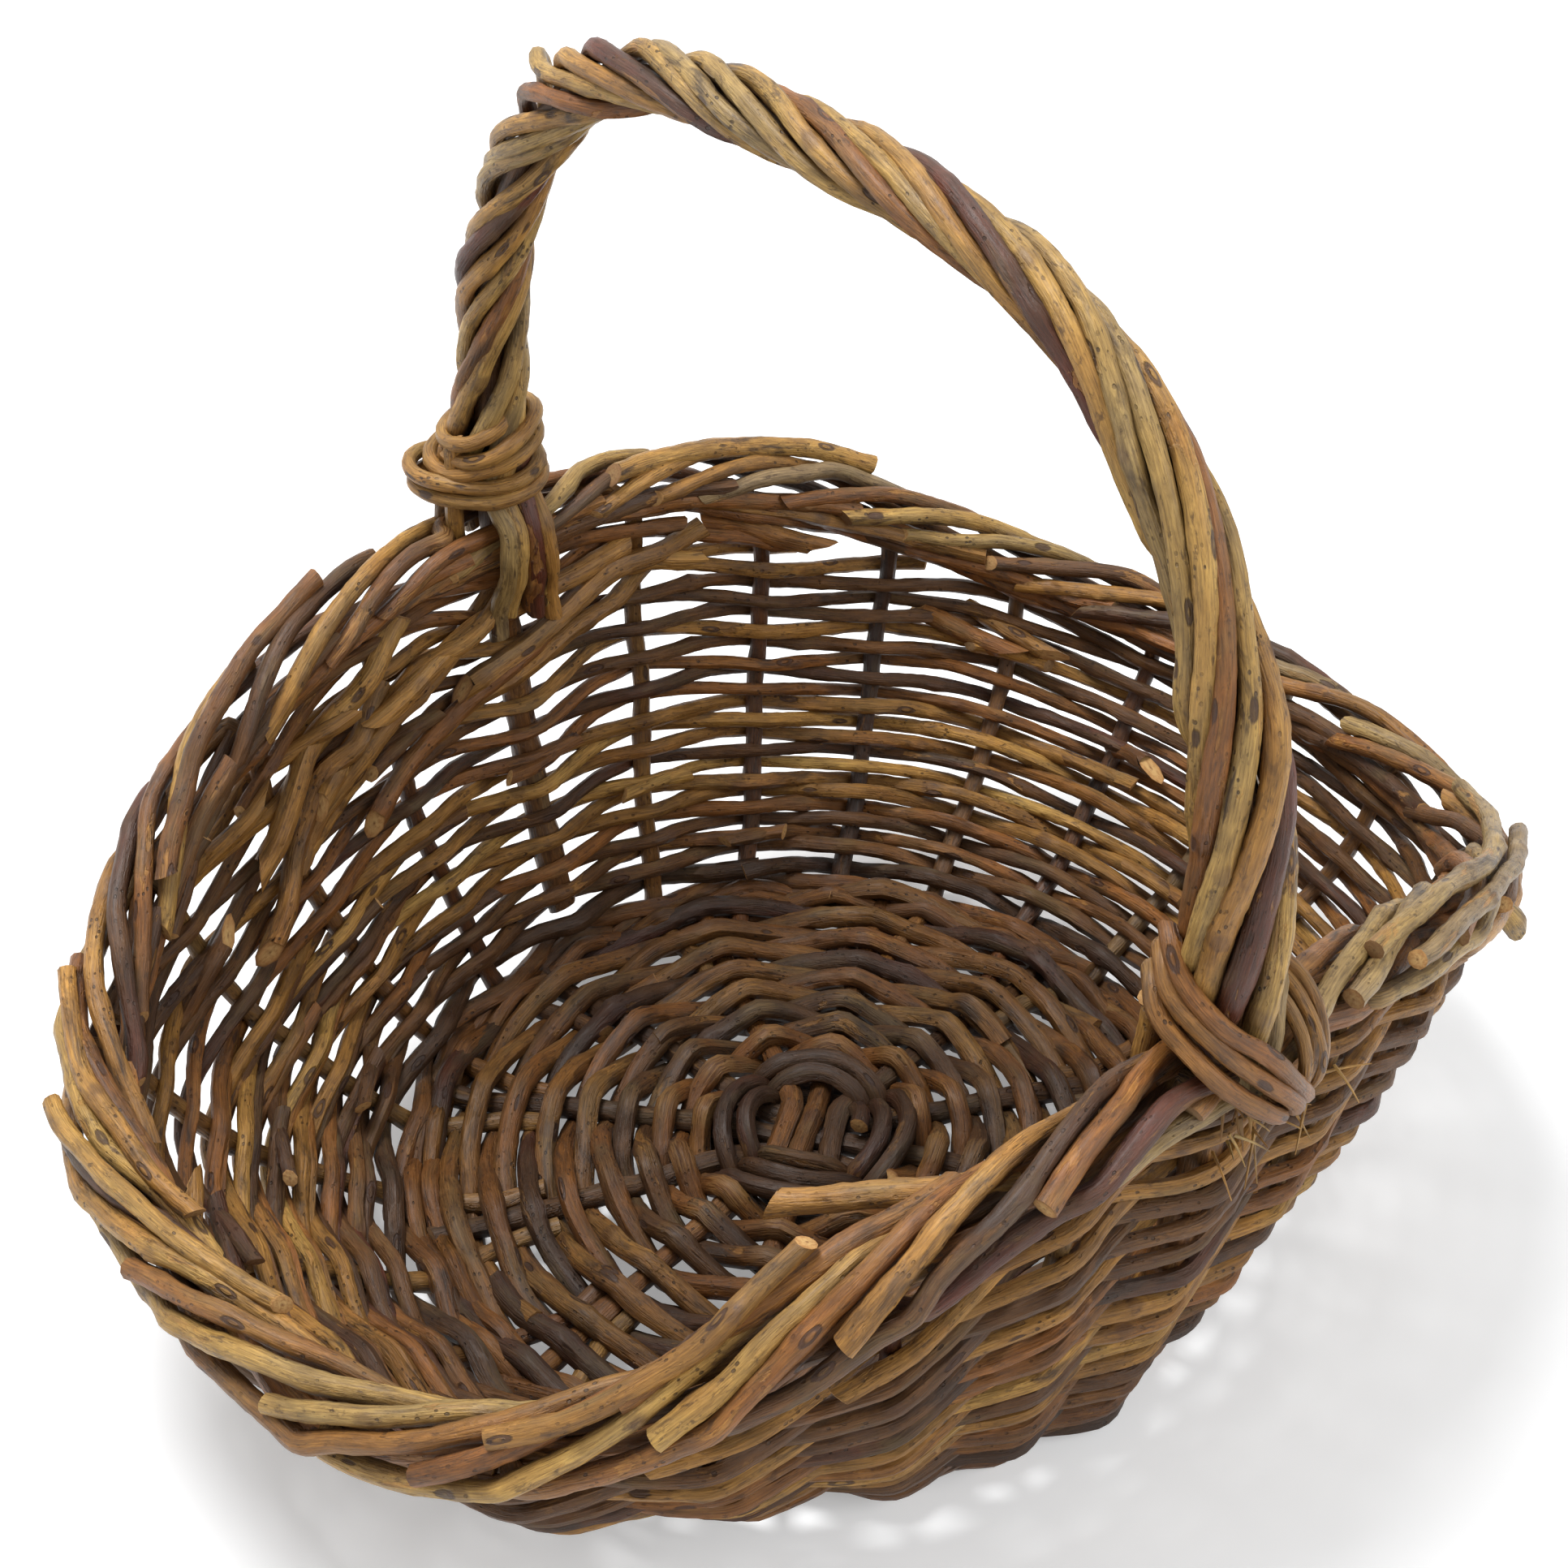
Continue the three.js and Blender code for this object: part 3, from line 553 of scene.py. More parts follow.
def bark_material(name, tint, gloss, coat):
    material = bpy.data.materials.new(name)
    nodes = Nodes(material)
    grain = nodes.attribute("grain")
    scar, bend, dark = nodes.split("marks_and_shade")
    tone, stain, patchy = nodes.split("tone")

    drift = nodes.noise(grain, 26, 90)
    drift = nodes.times(nodes.math("SUBTRACT", drift, 0.5), 0.42)
    color = nodes.ramp(nodes.math("ADD", tone, drift, clamp=True), BARK_STOPS)

    # Patches with crisp edges where the outer skin has come away
    patch = nodes.noise(grain, 62, 240, 5, 0.6, 0.6)
    peeled = nodes.times(nodes.span(patch, 0.6, 0.63), nodes.span(patchy, 0.3, 0.8))
    color = nodes.blend(nodes.times(peeled, 0.5), color, nodes.ramp(patch, PEELED_STOPS))

    # Grey-green and dark weathering in long soft areas
    weather = nodes.noise(grain, 34, 130, 4, 0.6, 0.3)
    color = nodes.blend(nodes.span(weather, 0.52, 0.7, 0.0, 0.5), color, linear(112, 104, 80))
    soot = nodes.noise(grain, 48, 190, 5, 0.65, 0.8)
    sooty = nodes.times(nodes.span(soot, 0.55, 0.68), nodes.span(stain, 0.2, 0.9, 0.35, 0.92))
    color = nodes.blend(sooty, color, linear(54, 40, 32))

    # Lengthwise fibres
    fibre = nodes.noise(grain, 150, 2600, 4, 0.6)
    color = nodes.shaded(color, nodes.shades(fibre, FIBRE_SHADES), 0.9)

    # Slow changes of depth along the rod, and short dark scuffs
    depth = nodes.noise(grain, 85, 170, 4, 0.6, 0.4)
    color = nodes.shaded(color, nodes.shades(depth, DEPTH_SHADES))
    scuff = nodes.noise(grain, 230, 700, 5, 0.7, 0.5)
    color = nodes.blend(nodes.span(scuff, 0.56, 0.66, 0.0, 0.7), color, linear(62, 42, 28))

    # Small pores and specks
    pore_here = nodes.span(nodes.noise(grain, 90, 200, 2), 0.5, 0.64)
    speck = nodes.times(nodes.span(nodes.cells(grain, 420, 620), 0.24, 0.17), pore_here)
    color = nodes.blend(nodes.times(speck, 0.75), color, linear(52, 36, 26))

    # Bud scars, a dark ring round a paler middle, and bark cracked open at the sharp bends
    bud = nodes.plus(nodes.cells(grain, 52, 150), nodes.times(fibre, 0.05))
    ring = nodes.times(nodes.span(bud, 0.19, 0.165), nodes.span(bud, 0.09, 0.115, 0.25, 1.0))
    color = nodes.blend(nodes.times(ring, 0.85), color, linear(58, 36, 26))
    color = nodes.blend(nodes.span(scar, 0.18, 0.42, 0.0, 0.45), color, linear(74, 48, 34))
    crack = nodes.times(nodes.span(bend, 0.12, 0.4), nodes.span(fibre, 0.42, 0.52))
    color = nodes.blend(nodes.times(crack, 0.3), color, linear(190, 156, 106))
    color = nodes.shaded(color, (*tint, 1))
    # Painted shade: darker on inward-facing sides of rods and on the stakes' parts inside the wall
    color = nodes.blend(dark, color, nodes.shaded(color, PAINTED_SHADE))

    rough = nodes.plus(weather, nodes.times(fibre, 0.4))
    relief = nodes.times(fibre, 0.5)
    fine = nodes.noise(grain, 340, 900, 4, 0.6)
    for layer, height in ((fine, 0.45), (speck, -0.6), (ring, -0.5), (peeled, -0.3)):
        relief = nodes.plus(relief, nodes.times(layer, height))
    shader = nodes.add("BsdfPrincipled", {
        "Base Color": color,
        "Roughness": nodes.span(rough, 0.5, 0.95, gloss, gloss + 0.26),
        "Specular IOR Level": 0.3 + coat,
        "Coat Weight": coat,
        "Coat Roughness": 0.28,
        "Normal": nodes.bump(relief, 1.0, 0.0008),
    })
    nodes.add("OutputMaterial", {0: shader.outputs[0]})
    return material


def cut_material():
    material = bpy.data.materials.new("cut_wood")
    nodes = Nodes(material)
    grain = nodes.attribute("grain")
    _, stain, _ = nodes.split("tone")
    from_middle = nodes.length(nodes.stretched(grain, 0, 1))
    color = nodes.ramp(nodes.span(from_middle, 0.0, 0.0032), CUT_STOPS)
    rough_cut = nodes.noise(grain, 300, 1400, 4, 0.6)
    color = nodes.blend(nodes.span(rough_cut, 0.45, 0.62, 0.0, 0.5), color, linear(150, 96, 50))
    color = nodes.blend(nodes.span(stain, 0.35, 0.9, 0.0, 0.75), color, linear(104, 78, 54))
    bump = nodes.bump(rough_cut, 0.6, 0.0004)
    shader = nodes.add("BsdfPrincipled", {"Base Color": color, "Roughness": 0.82, "Normal": bump})
    nodes.add("OutputMaterial", {0: shader.outputs[0]})
    return material


CUT_WOOD = cut_material()
BARKS = {
    # The base's tint is darker partly for its darker rods and partly as painted shade, for the base
    # lying in shadow
    "willow_base": bark_material("bark_base_with_painted_shade", (0.58, 0.53, 0.44), gloss=0.42, coat=0.05),
    "willow_stake": bark_material("bark_stake", (1.04, 0.95, 0.8), gloss=0.38, coat=0.1),
    "willow_weaver": bark_material("bark_weaver", (0.95, 0.87, 0.7), gloss=0.44, coat=0.04),
    "willow_handle": bark_material("bark_handle", (1.05, 0.96, 0.82), gloss=0.36, coat=0.12),
    "willow_lashing": bark_material("bark_lashing", (0.98, 0.9, 0.76), gloss=0.36, coat=0.12),
}

# The base: the cross of sticks, and the pair of rods woven round it
CROSS_DROP = 1.6
WEAVE_HEIGHT = 2.16
CENTRE_START = 13.5
CENTRE_PITCH = 5.6
CENTRE_HEIGHT = 7.2
CENTRE_ROD_RADIUS = 2.5
EDGE_ROD_RADIUS = 2.3
EDGE_HEIGHT = 9.2
EDGE_RODS = ((96.5, 1), (96.5, -1), (101.0, 1), (101.0, -1))


def stick_points(middle_angle, place, drop):
    along = np.array([math.cos(middle_angle), math.sin(middle_angle), 0.0])
    aside = np.array([-along[1], along[0], 0.0])
    pitch = 2 * STICK_RADIUS + SEAT

    def crossing(forward):
        point = along * forward + aside * (place * pitch)
        point[2] = base_point(0.0, np.hypot(point[0], point[1]), drop)[2]
        return point

    def spoke(direction):
        angle = middle_angle + (0 if direction > 0 else math.pi) + direction * place * STICK_SPREAD
        end_radius = BASE_RADIUS - STAKE_RADIUS
        radii = np.array([BASE_WEAVE_START, 0.7 * CROWN_RADIUS, CROWN_RADIUS, end_radius])
        return list(base_point(np.full(4, angle), radii))

    middle = [crossing(forward) for forward in (-1.5 * pitch, 0, 1.5 * pitch)]
    return np.array(spoke(-1)[::-1] + middle + spoke(1))


def weave_rods(strand):
    """One of the two base weavers: its turns round the centre, then its joined lengths."""
    side = 1 if strand == 0 else -1
    inner = np.linspace(0, 2.3, 130)
    beat = np.cos(2 * (inner + strand / 2) * TURN) * side
    angle = FIRST_STICK_ANGLE + STICK_SPREAD + (inner + strand / 2) * TURN
    lift = np.sign(beat) * np.abs(beat) ** 0.5 * CENTRE_HEIGHT
    centre = base_point(angle, CENTRE_START + inner * CENTRE_PITCH, lift)
    yield make_rod(centre, CENTRE_ROD_RADIUS, 36 + strand, tone=(0.1, 0.4), wobble=0.3)
    crossings = 2 * BASE_STICKS
    steps = np.arange(0, crossings * (BASE_WEAVE_TURNS + 0.95), 0.1)
    radius = BASE_WEAVE_START + steps / crossings * BASE_ROW_PITCH
    angle = FIRST_STICK_ANGLE + (steps / crossings + strand / 2) * TURN
    points = base_point(angle, radius, zigzag(steps, WEAVE_HEIGHT) * side * BASE_LIFT)
    cuts = np.linspace(0, len(points) - 1, 7).astype(int)
    for number, (first, last) in enumerate(zip(cuts[:-1], cuts[1:])):
        last = min(last + 4, len(points) - 1)
        thick = BASE_WEAVER_RADIUS * 1.16, BASE_WEAVER_RADIUS * 1.04
        yield make_rod(
            points[first:last + 1], np.linspace(*thick, last - first + 1),
            30 + strand * 10 + number, tone=(0.08, 0.5), wobble=0.45, rounding=1)


def add_base():
    sticks = []
    for crossing in (0, 1):
        middle_angle = FIRST_STICK_ANGLE + STICK_SPREAD + crossing * math.pi / 2
        for place in (-1, 0, 1):
            points = stick_points(middle_angle, place, CROSS_DROP if crossing else -CROSS_DROP)
            sticks.append(make_rod(points, STICK_RADIUS, 10 + len(sticks), tone=(0.15, 0.45)))
    add_piece("base_cross_sticks", sticks, "willow_base", "base_slath")
    for strand in (0, 1):
        rods = weave_rods(strand)
        add_piece(f"base_weave_{strand + 1}", rods, "willow_base", f"base_weaver_{strand + 1}")


def edge_rods():
    """Rods that close the ring between the base and the wall."""
    for number, (radius, side) in enumerate(EDGE_RODS):
        steps = np.arange(0, UPRIGHTS - 0.4, 0.1) + 3 * number
        points = base_point(steps / UPRIGHTS * TURN, radius, side * zigzag(steps, EDGE_HEIGHT))
        yield make_rod(
            points, EDGE_ROD_RADIUS, 70 + number, tone=(0.08, 0.45), wobble=0.3, rounding=2)


# The wall
WEAVE_STEP = 0.08
WEAVER_OVERRUN = 0.32
FOOT_OVERRUN = 0.08
BOW_REACH = BOW_RADIUS - 0.5
STAKE_REACH = 2.15
WEAVER_REACH = 0.86
DOUBLED_ROWS = 11
CLOSE_WEAVE = dict(wobble=0.16, rounding=1, slants=(0.5, 0.8))


def is_bow(upright):
    return np.mod(upright, UPRIGHTS / 2) == 0


def bow_distance(turns):
    """How far round the rim the nearer foot of the handle is, in turns."""
    return np.abs(turns * 2 - np.round(turns * 2)) / 2


def bow_nearness(turns):
    return 1 - smooth_step(bow_distance(turns) * RIM_TOTAL / 30)


def foot_lift(turns):
    return FOOT_WEAVE_LIFT * wall_frame(turns, 1.0)[2][:, 2]


def row_distance(turns, row):
    """How far up the wall a row runs; beside the handle there is room for extra rows."""
    extra = PACKING_ROWS * (1 - smooth_step((bow_distance(turns) * UPRIGHTS - 2) / 2))
    top = wall_total(turns) - WALL_MARGIN - LASHING_ROOM * bow_nearness(turns)
    share = row / (WALL_ROWS - 1 + extra)
    return mix(foot_lift(turns) + FIRST_WALL_ROW, top, share - 0.022 * np.sin(math.pi * share))


def woven_rod(seed, rng, first, passes, distance_at, radii, parity=0, lapped=True,
              overrun=WEAVER_OVERRUN, **look):
    """A rod woven past so many uprights, its ends left a little proud of the wall."""
    steps = np.arange(-overrun, passes + overrun + 0.02, WEAVE_STEP)
    turns = (first + steps) / UPRIGHTS
    radius = mix(*radii, np.clip(steps / passes, 0, 1))

    def reach_at(step):
        held = np.where(is_bow(first + step), BOW_REACH, STAKE_REACH) + radius * WEAVER_REACH
        return np.where(np.mod(step + parity, 2) == 0, -1, 1) * held

    low = np.floor(steps)
    offset = mix(reach_at(low), reach_at(low + 1), np.clip((steps - low - 0.05) / 0.9, 0, 1))
    start = np.clip(-steps / WEAVER_OVERRUN, 0, 1)
    finish = np.clip((steps - passes) / WEAVER_OVERRUN, 0, 1)
    offset = np.where(steps < 0, reach_at(np.zeros_like(steps)) * (1 + 0.3 * start), offset)
    last_reach = reach_at(np.full_like(steps, passes))
    offset = np.where(steps > passes, last_reach * (1 + 0.25 * finish), offset)
    if lapped:
        offset = offset - radius * 1.3 * smooth_step((steps - passes + 0.5) / 0.5)
    lift = 0.34 * waves(rng, steps * 40, 90, 320) + 0.5 * start - 0.5 * finish
    return make_rod(off_wall(turns, distance_at(turns) + lift, offset), radius, seed, **look)


def add_wall():
    for row in (0, 1):
        rng = draws(900 + row)
        look = dict(overrun=FOOT_OVERRUN, tone=(0.1, 0.45), wobble=0.3)
        rods = [woven_rod(
            60 + row, rng, 3 + row * 7, UPRIGHTS, lambda turns: foot_lift(turns) + row * FOOT_PITCH,
            (FOOT_WEAVER_RADIUS * 1.15, FOOT_WEAVER_RADIUS), **look)]
        for parity in (0, 1) if row == 0 else ():
            rods.append(woven_rod(
                64 + parity, rng, 9 + 5 * parity, UPRIGHTS,
                lambda turns: 0.6 - foot_lift(turns) * 0.2, (2.2, 2.0), parity=parity, **look))
        add_piece(f"foot_weave_{row + 1}", rods, "willow_base", f"foot_weaver_{row + 1}")
    for row in range(WALL_ROWS):
        rng = draws(930 + row)
        thick = rng.uniform(0.95, 1.08) * mix(1.05, 0.97, row / WALL_ROWS)
        rod = woven_rod(
            100 + row, rng, 5 * row + 5, UPRIGHTS, lambda turns: row_distance(turns, row),
            (WEAVER_RADIUS * thick, WEAVER_TIP_RADIUS * thick),
            tone=(0.06, 0.2) if row % 5 == 2 else (0.2, 0.78), spacing=2.0, **CLOSE_WEAVE)
        number = f"{row + 1:02d}"
        add_piece(f"wall_weave_{number}", [rod], "willow_weaver", f"wall_row_{number}")


def doubled_rods():
    """Second rods in the lower rows at the -Y end, where the weaving is close."""
    for row in range(DOUBLED_ROWS):
        first = 13 + (5 * row) % 3
        yield woven_rod(
            160 + row, draws(960 + row), first, 8, lambda turns: row_distance(turns, row + 0.5),
            (1.9, 1.6), parity=(first + row) % 2, tone=(0.04, 0.5), **CLOSE_WEAVE)


def packing_rods(bow):
    """Short rods that build the wall up beside a foot of the handle."""
    for row in range(PACKING_ROWS):
        low, high = sorted(PACKING_ENDS[row:row + 2])
        yield woven_rod(
            660 + bow + row, draws(640 + bow + row), bow + low, high - low,
            lambda turns: row_distance(turns, WALL_ROWS + row),
            (PACKING_RADIUS, PACKING_RADIUS * 0.9), parity=(bow + low + row) % 2,
            lapped=False, tone=(0.2, 0.65), wobble=0.3, slants=(0.5, 0.5))


# Ends of rods left inside the wall: turns along the rim, depth below it, tone
INNER_ENDS = (
    (0.560, 19, 0.55), (0.553, 35, 0.75), (0.590, 15, 0.6), (0.402, 12, 0.45),
    (0.334, 24, 0.35), (0.320, 21, 0.5), (0.446, 20, 0.7), (0.620, 30, 0.3),
    (0.700, 26, 0.5), (0.235, 28, 0.4), (0.115, 24, 0.5), (0.275, 40, 0.3),
)

# Thick rods that run slantwise inside the wall near the feet: turns and depth of both ends
SLANTING_RODS = (
    (0.585, 44, 0.500, 16), (0.574, 35, 0.488, 12), (0.560, 53, 0.476, 27), (0.600, 31, 0.532, 10),
    (0.549, 27, 0.462, 15), (0.532, 47, 0.452, 24), (0.612, 47, 0.543, 24), (0.520, 36, 0.436, 13),
    (0.086, 42, 0.004, 18), (0.072, 31, 0.980, 12), (0.055, 50, 0.965, 26), (0.040, 24, 0.955, 14),
)


def slanting_rods():
    for number, (near, deep, far, high) in enumerate(SLANTING_RODS):
        rng = draws(540 + number)
        far = far - 1 if far > near + 0.5 else far
        along = np.linspace(0, 1, 40)
        places = mix(near, far, along)
        depth = mix(deep, high, along) + 0.8 * waves(rng, along * 90, 30, 90)
        outward = -6.6 + 1.1 * waves(rng, along * 90, 60, 90)
        outward = outward + 5 * smooth_step((along - 0.75) / 0.25)
        points = off_wall(places, wall_total(places) - depth, outward)
        tone = rng.uniform(0.25, 0.7)
        yield make_rod(
            points, rng.uniform(2.4, 3.0), 545 + number,
            tone=(tone, tone + 0.05), slants=(1.5, 0.5), stain=0.2)


def inner_ends():
    for number, (turns, depth, tone) in enumerate(INNER_ENDS):
        rng = draws(560 + number)
        length = rng.uniform(20, 34)
        along = np.linspace(0, 1, 14)
        places = turns + along * length / RIM_TOTAL
        distance = wall_total(places) - depth - 3 * along * rng.uniform(-1, 1)
        points = off_wall(places, distance, mix(-7.8, 2.0, along**1.6))
        yield make_rod(
            points, rng.uniform(2.2, 2.8), 580 + number,
            tone=(tone, tone + 0.05), slants=(2.2, 0.9), stain=0.1)


# Stakes, each ending as a rod of the border
ROLL_START = math.radians(-36)
ROLL_KINK = math.radians(-2)
ROLL_STEP = math.radians(98)
ROLL_END = math.radians(200)
ROLL_REACH = (ROLL_END - ROLL_KINK) / ROLL_STEP
UPRIGHT_TONES = (
    0.6, 0.95, 0.68, 0.9, 0.97, 0.6, 0.88, 0.3, 0.64, 0.16, 0.36, 0.74,
    0.6, 0.3, 0.66, 0.8, 0.76, 0.86, 0.5, 0.84, 0.44, 0.18, 0.04, 0.9,
)
PALE_ENDS = (1, 2, 3, 4)
FAN_RADIUS = 80
# The core line gives the border rods painted shade on their sides that face the rim line
BORDER_LOOK = dict(sides=10, spacing=2.0, lumps=0.06, core=RIM_LINE)

# Rows just below the border: first upright passed and depth under the rim
TOP_ROWS = ((2, 7.6), (7, 4.6), (15, 6.2))


def lay_angle(passed):
    """Where a border rod lies on the roll, by stakes passed since it was bent down."""
    outside = mix(ROLL_START, ROLL_KINK, np.clip(passed, 0, 1))
    return outside + ROLL_STEP * np.maximum(passed - 1, 0)


def rolled(turns, angle, radius):
    """A place on the border's roll, drawn out to both sides of the bow at its feet."""
    near = bow_nearness(turns)
    outward = radius * np.cos(angle)
    upward = radius * np.sin(angle)
    beside = np.sign(outward) * (BOW_RADIUS + BORDER_ROD_RADIUS + SEAT)
    outward = np.where(np.abs(outward) < np.abs(beside), mix(outward, beside, near), outward)
    return border_place(turns, outward, mix(upward, upward * 0.62, near))


def stake_points(upright):
    side = -1 if upright % 2 == 0 else 1
    stick_angle = FIRST_STICK_ANGLE + (upright // 2) * STICK_SPREAD
    turns = upright / UPRIGHTS
    beside = STICK_RADIUS + STAKE_RADIUS + SEAT
    points, radii = [], []
    for radius in (68.0, 80.0, BASE_WEAVE_END + BASE_WEAVER_RADIUS):
        fanned = max((radius - FAN_RADIUS) / (BASE_RADIUS - FAN_RADIUS), 0)
        spread = side * math.asin(beside / min(radius, FAN_RADIUS))
        if fanned > 0:
            spread = mix(spread, turns * TURN - stick_angle, fanned)
        points.append(base_point(stick_angle + spread, radius))
        radii.append(STAKE_RADIUS)
    low, high = foot_lift(np.array([turns]))[0] / 2, wall_total(turns)[0] - 7.0
    points.extend(off_wall(np.full(24, turns), np.linspace(low, high, 24), 0.0))
    radii.extend(np.linspace(STAKE_RADIUS, STAKE_TIP_RADIUS, 24))
    return points, radii


def add_stakes():
    for upright in range(UPRIGHTS):
        if is_bow(upright):
            continue
        rng = draws(700 + upright)
        points, radii = stake_points(upright)
        wall_part = run_lengths(points)[-1]
        thick = BORDER_ROD_RADIUS * rng.uniform(0.84, 1.06)
        reach = 1 + ROLL_REACH - rng.uniform(0, 0.35)
        reach = 2.0 + 0.1 * upright if upright in PALE_ENDS else reach
        passed = np.linspace(0.05, reach, 80)
        angle = lay_angle(passed) + rng.uniform(-0.1, 0.1)
        kink = rng.uniform(1.0, 2.0)
        radius = ROLL_RADIUS + rng.uniform(-0.3, 0.3) + kink * hump(passed, 1.02, 0.12)
        points.extend(rolled((upright + passed) / UPRIGHTS, angle, radius))
        radii.extend(np.linspace(thick, thick * rng.uniform(0.82, 0.96), 80))
        tone = UPRIGHT_TONES[upright]
        # The stake is darkened with painted shade over its part inside the wall
        rod = make_rod(
            points, radii, 200 + upright, rounding=2, tone=(tone - 0.03, tone + 0.03),
            slants=(0.2, 0.9), painted_shade_to=wall_part, **BORDER_LOOK)
        add_piece(f"stake_rod_{upright:02d}", [rod], "willow_stake", f"stake_{upright:02d}")


def border_rods():
    """Beside each stake's rod a second one and a hidden inner one, and rows below the border."""
    for upright in range(UPRIGHTS):
        rng = draws(760 + upright)
        passed = np.linspace(0.3, 2.9, 50)
        angle = math.radians(150) + math.radians(42) * passed
        points = rolled((upright + passed) / UPRIGHTS, angle, ROLL_RADIUS - 1.2)
        tone = rng.uniform(0.1, 0.5)
        yield make_rod(points, BORDER_ROD_RADIUS * 0.86, 360 + upright, tone=(tone, tone + 0.05))
        reach = 0.5 + ROLL_REACH - rng.uniform(0, 0.3)
        passed = np.linspace(rng.uniform(0.6, 0.78), reach, 48)
        angle = lay_angle(passed + 0.5) + rng.uniform(-0.1, 0.1)
        radius = ROLL_RADIUS + rng.uniform(-0.1, 0.5) + 0.9 * hump(passed, 0.65, 0.2)
        points = rolled((upright + passed) / UPRIGHTS, angle, radius)
        thick = rng.uniform(0.84, 1.02), rng.uniform(0.74, 0.88)
        tone = np.mod(UPRIGHT_TONES[upright] + rng.uniform(0.3, 0.6), 1.0)
        yield make_rod(
            points, BORDER_ROD_RADIUS * np.linspace(*thick, 48), 300 + upright,
            tone=(tone, tone + 0.04), slants=(0.15, 0.9), **BORDER_LOOK)
    for number, (first, below) in enumerate(TOP_ROWS):
        yield woven_rod(
            330 + number, draws(790 + number), first, UPRIGHTS,
            lambda turns: wall_total(turns) - below - 3.5 * bow_nearness(turns), (2.3, 2.0),
            parity=number % 2, tone=(0.2, 0.5), wobble=0.3)


# Single rods that stand out of the border: radius, tone and places as turns, outward, upward
LOOSE_RODS = (
    (2.9, 0.62, ((0.950, -5, -3), (0.932, -14, 0), (0.919, -20, 3), (0.905, -27, 5))),
    (2.3, 0.55, ((0.834, 4, 9.5), (0.858, 2, 11), (0.884, -2, 12), (0.908, -10, 12.5))),
    (2.8, 0.42, ((0.862, 1, 10), (0.885, -5, 9), (0.915, -9, 5), (0.940, -10, 0))),
    (2.7, 0.72, ((0.384, 6, 11), (0.405, 4, 10.5), (0.435, 0, 10), (0.468, -6, 8))),
    (2.5, 0.30, ((0.548, 6, 10), (0.566, 3, 10.5), (0.600, -3, 10), (0.630, -8, 6))),
    (2.4, 0.92, ((0.040, 4, 10), (0.075, 2, 11), (0.120, 2, 11.2), (0.172, 0, 11.5))),
    (2.2, 0.98, ((0.050, 9, 6.5), (0.090, 7, 8.5), (0.125, 7, 8.5), (0.151, 8, 9))),
    (2.7, 0.84, ((0.120, 6, -1), (0.125, 9.5, -4), (0.129, 11.5, -7.5))),
    (2.2, 0.66, ((0.657, 9, 7), (0.675, 5, 10), (0.705, -2, 10.5), (0.735, -8, 7))),
    (2.2, 0.74, ((0.689, 10, 6), (0.706, 6, 9.5), (0.738, -1, 10.8), (0.770, -8, 7.5))),
)


def loose_rods():
    for number, (radius, tone, places) in enumerate(LOOSE_RODS):
        fine = np.linspace(0, len(places) - 1, 30)
        points = border_place(*(np.interp(fine, range(len(places)), row) for row in zip(*places)))
        yield make_rod(
            points, radius, 600 + number, sides=10, spacing=1.8, rounding=10,
            tone=(tone, tone + 0.04), lumps=0.06, slants=(0.15, 0.7))


# The handle: strands twisted round the bow
STRAND_TONES = (0.9, 0.76, 0.42, 0.86, 0.7, 0.02, 0.8, 0.93)
LOOP_STRAND = 3
LOOP_PLACE = 0.717
LOOP_HEIGHT = 9
LOOP_WIDTH = 6.5
SHOULDER_PLACE = 0.68
SHOULDER_BULGE = 2.2
LEG_POINTS = 11
TAIL_POINTS = 14

# How far apart the turns of the twist are, by shares of the arch
TWIST_PLACES = (0.0, 0.12, 0.25, 0.45, 0.65, 0.8, 0.9, 1.0)
TWIST_PITCHES = (240, 190, 145, 115, 102, 88, 110, 140)


def foot_share(distance):
    return np.abs(1 - 2 * distance / ARCH_TOTAL) ** HANDLE_TAPER_POWER


def twist_radius(distance):
    share = foot_share(np.clip(distance, 0, ARCH_TOTAL))
    bow = mix(BOW_TOP_RADIUS, BOW_RADIUS, share)
    touching = bow + mix(HANDLE_ROD_TOP_RADIUS, HANDLE_ROD_RADIUS, share) + SEAT
    return touching / math.cos(math.pi / 8)


def leg_fullness(distance):
    """The strands stand off a little on the legs, most on the one at +X."""
    right = mix(1.12, 1.2, smooth_step(distance / 60)) * (1 - smooth_step((distance - 75) / 70))
    left = 1.08 * smooth_step((distance / ARCH_TOTAL - 0.78) / 0.12)
    return np.maximum(np.maximum(right, left), 1.0)


def twist_phase(distance):
    """Turns made by the twist: slow up the leg on +X, quick over the far shoulder."""
    fine = np.linspace(-40, ARCH_TOTAL + 40, 400)
    pitch = np.interp(fine[1:], np.array(TWIST_PLACES) * ARCH_TOTAL, TWIST_PITCHES)
    turns = np.concatenate([[0], np.cumsum(np.diff(fine) / pitch)])
    return np.interp(distance, fine, turns)


def tail_points(foot, aside, length):
    """A strand's end, pushed down inside the border and along the wall."""
    drops = np.linspace(8, -length, TAIL_POINTS)
    places = foot + aside * mix(0.7, 1.25, np.linspace(0, 1, TAIL_POINTS)) / RIM_TOTAL
    inward = mix(-13.6, -8.4, smooth_step((-drops - 4) / 16))
    return off_wall(places, wall_total(places) + drops, inward)


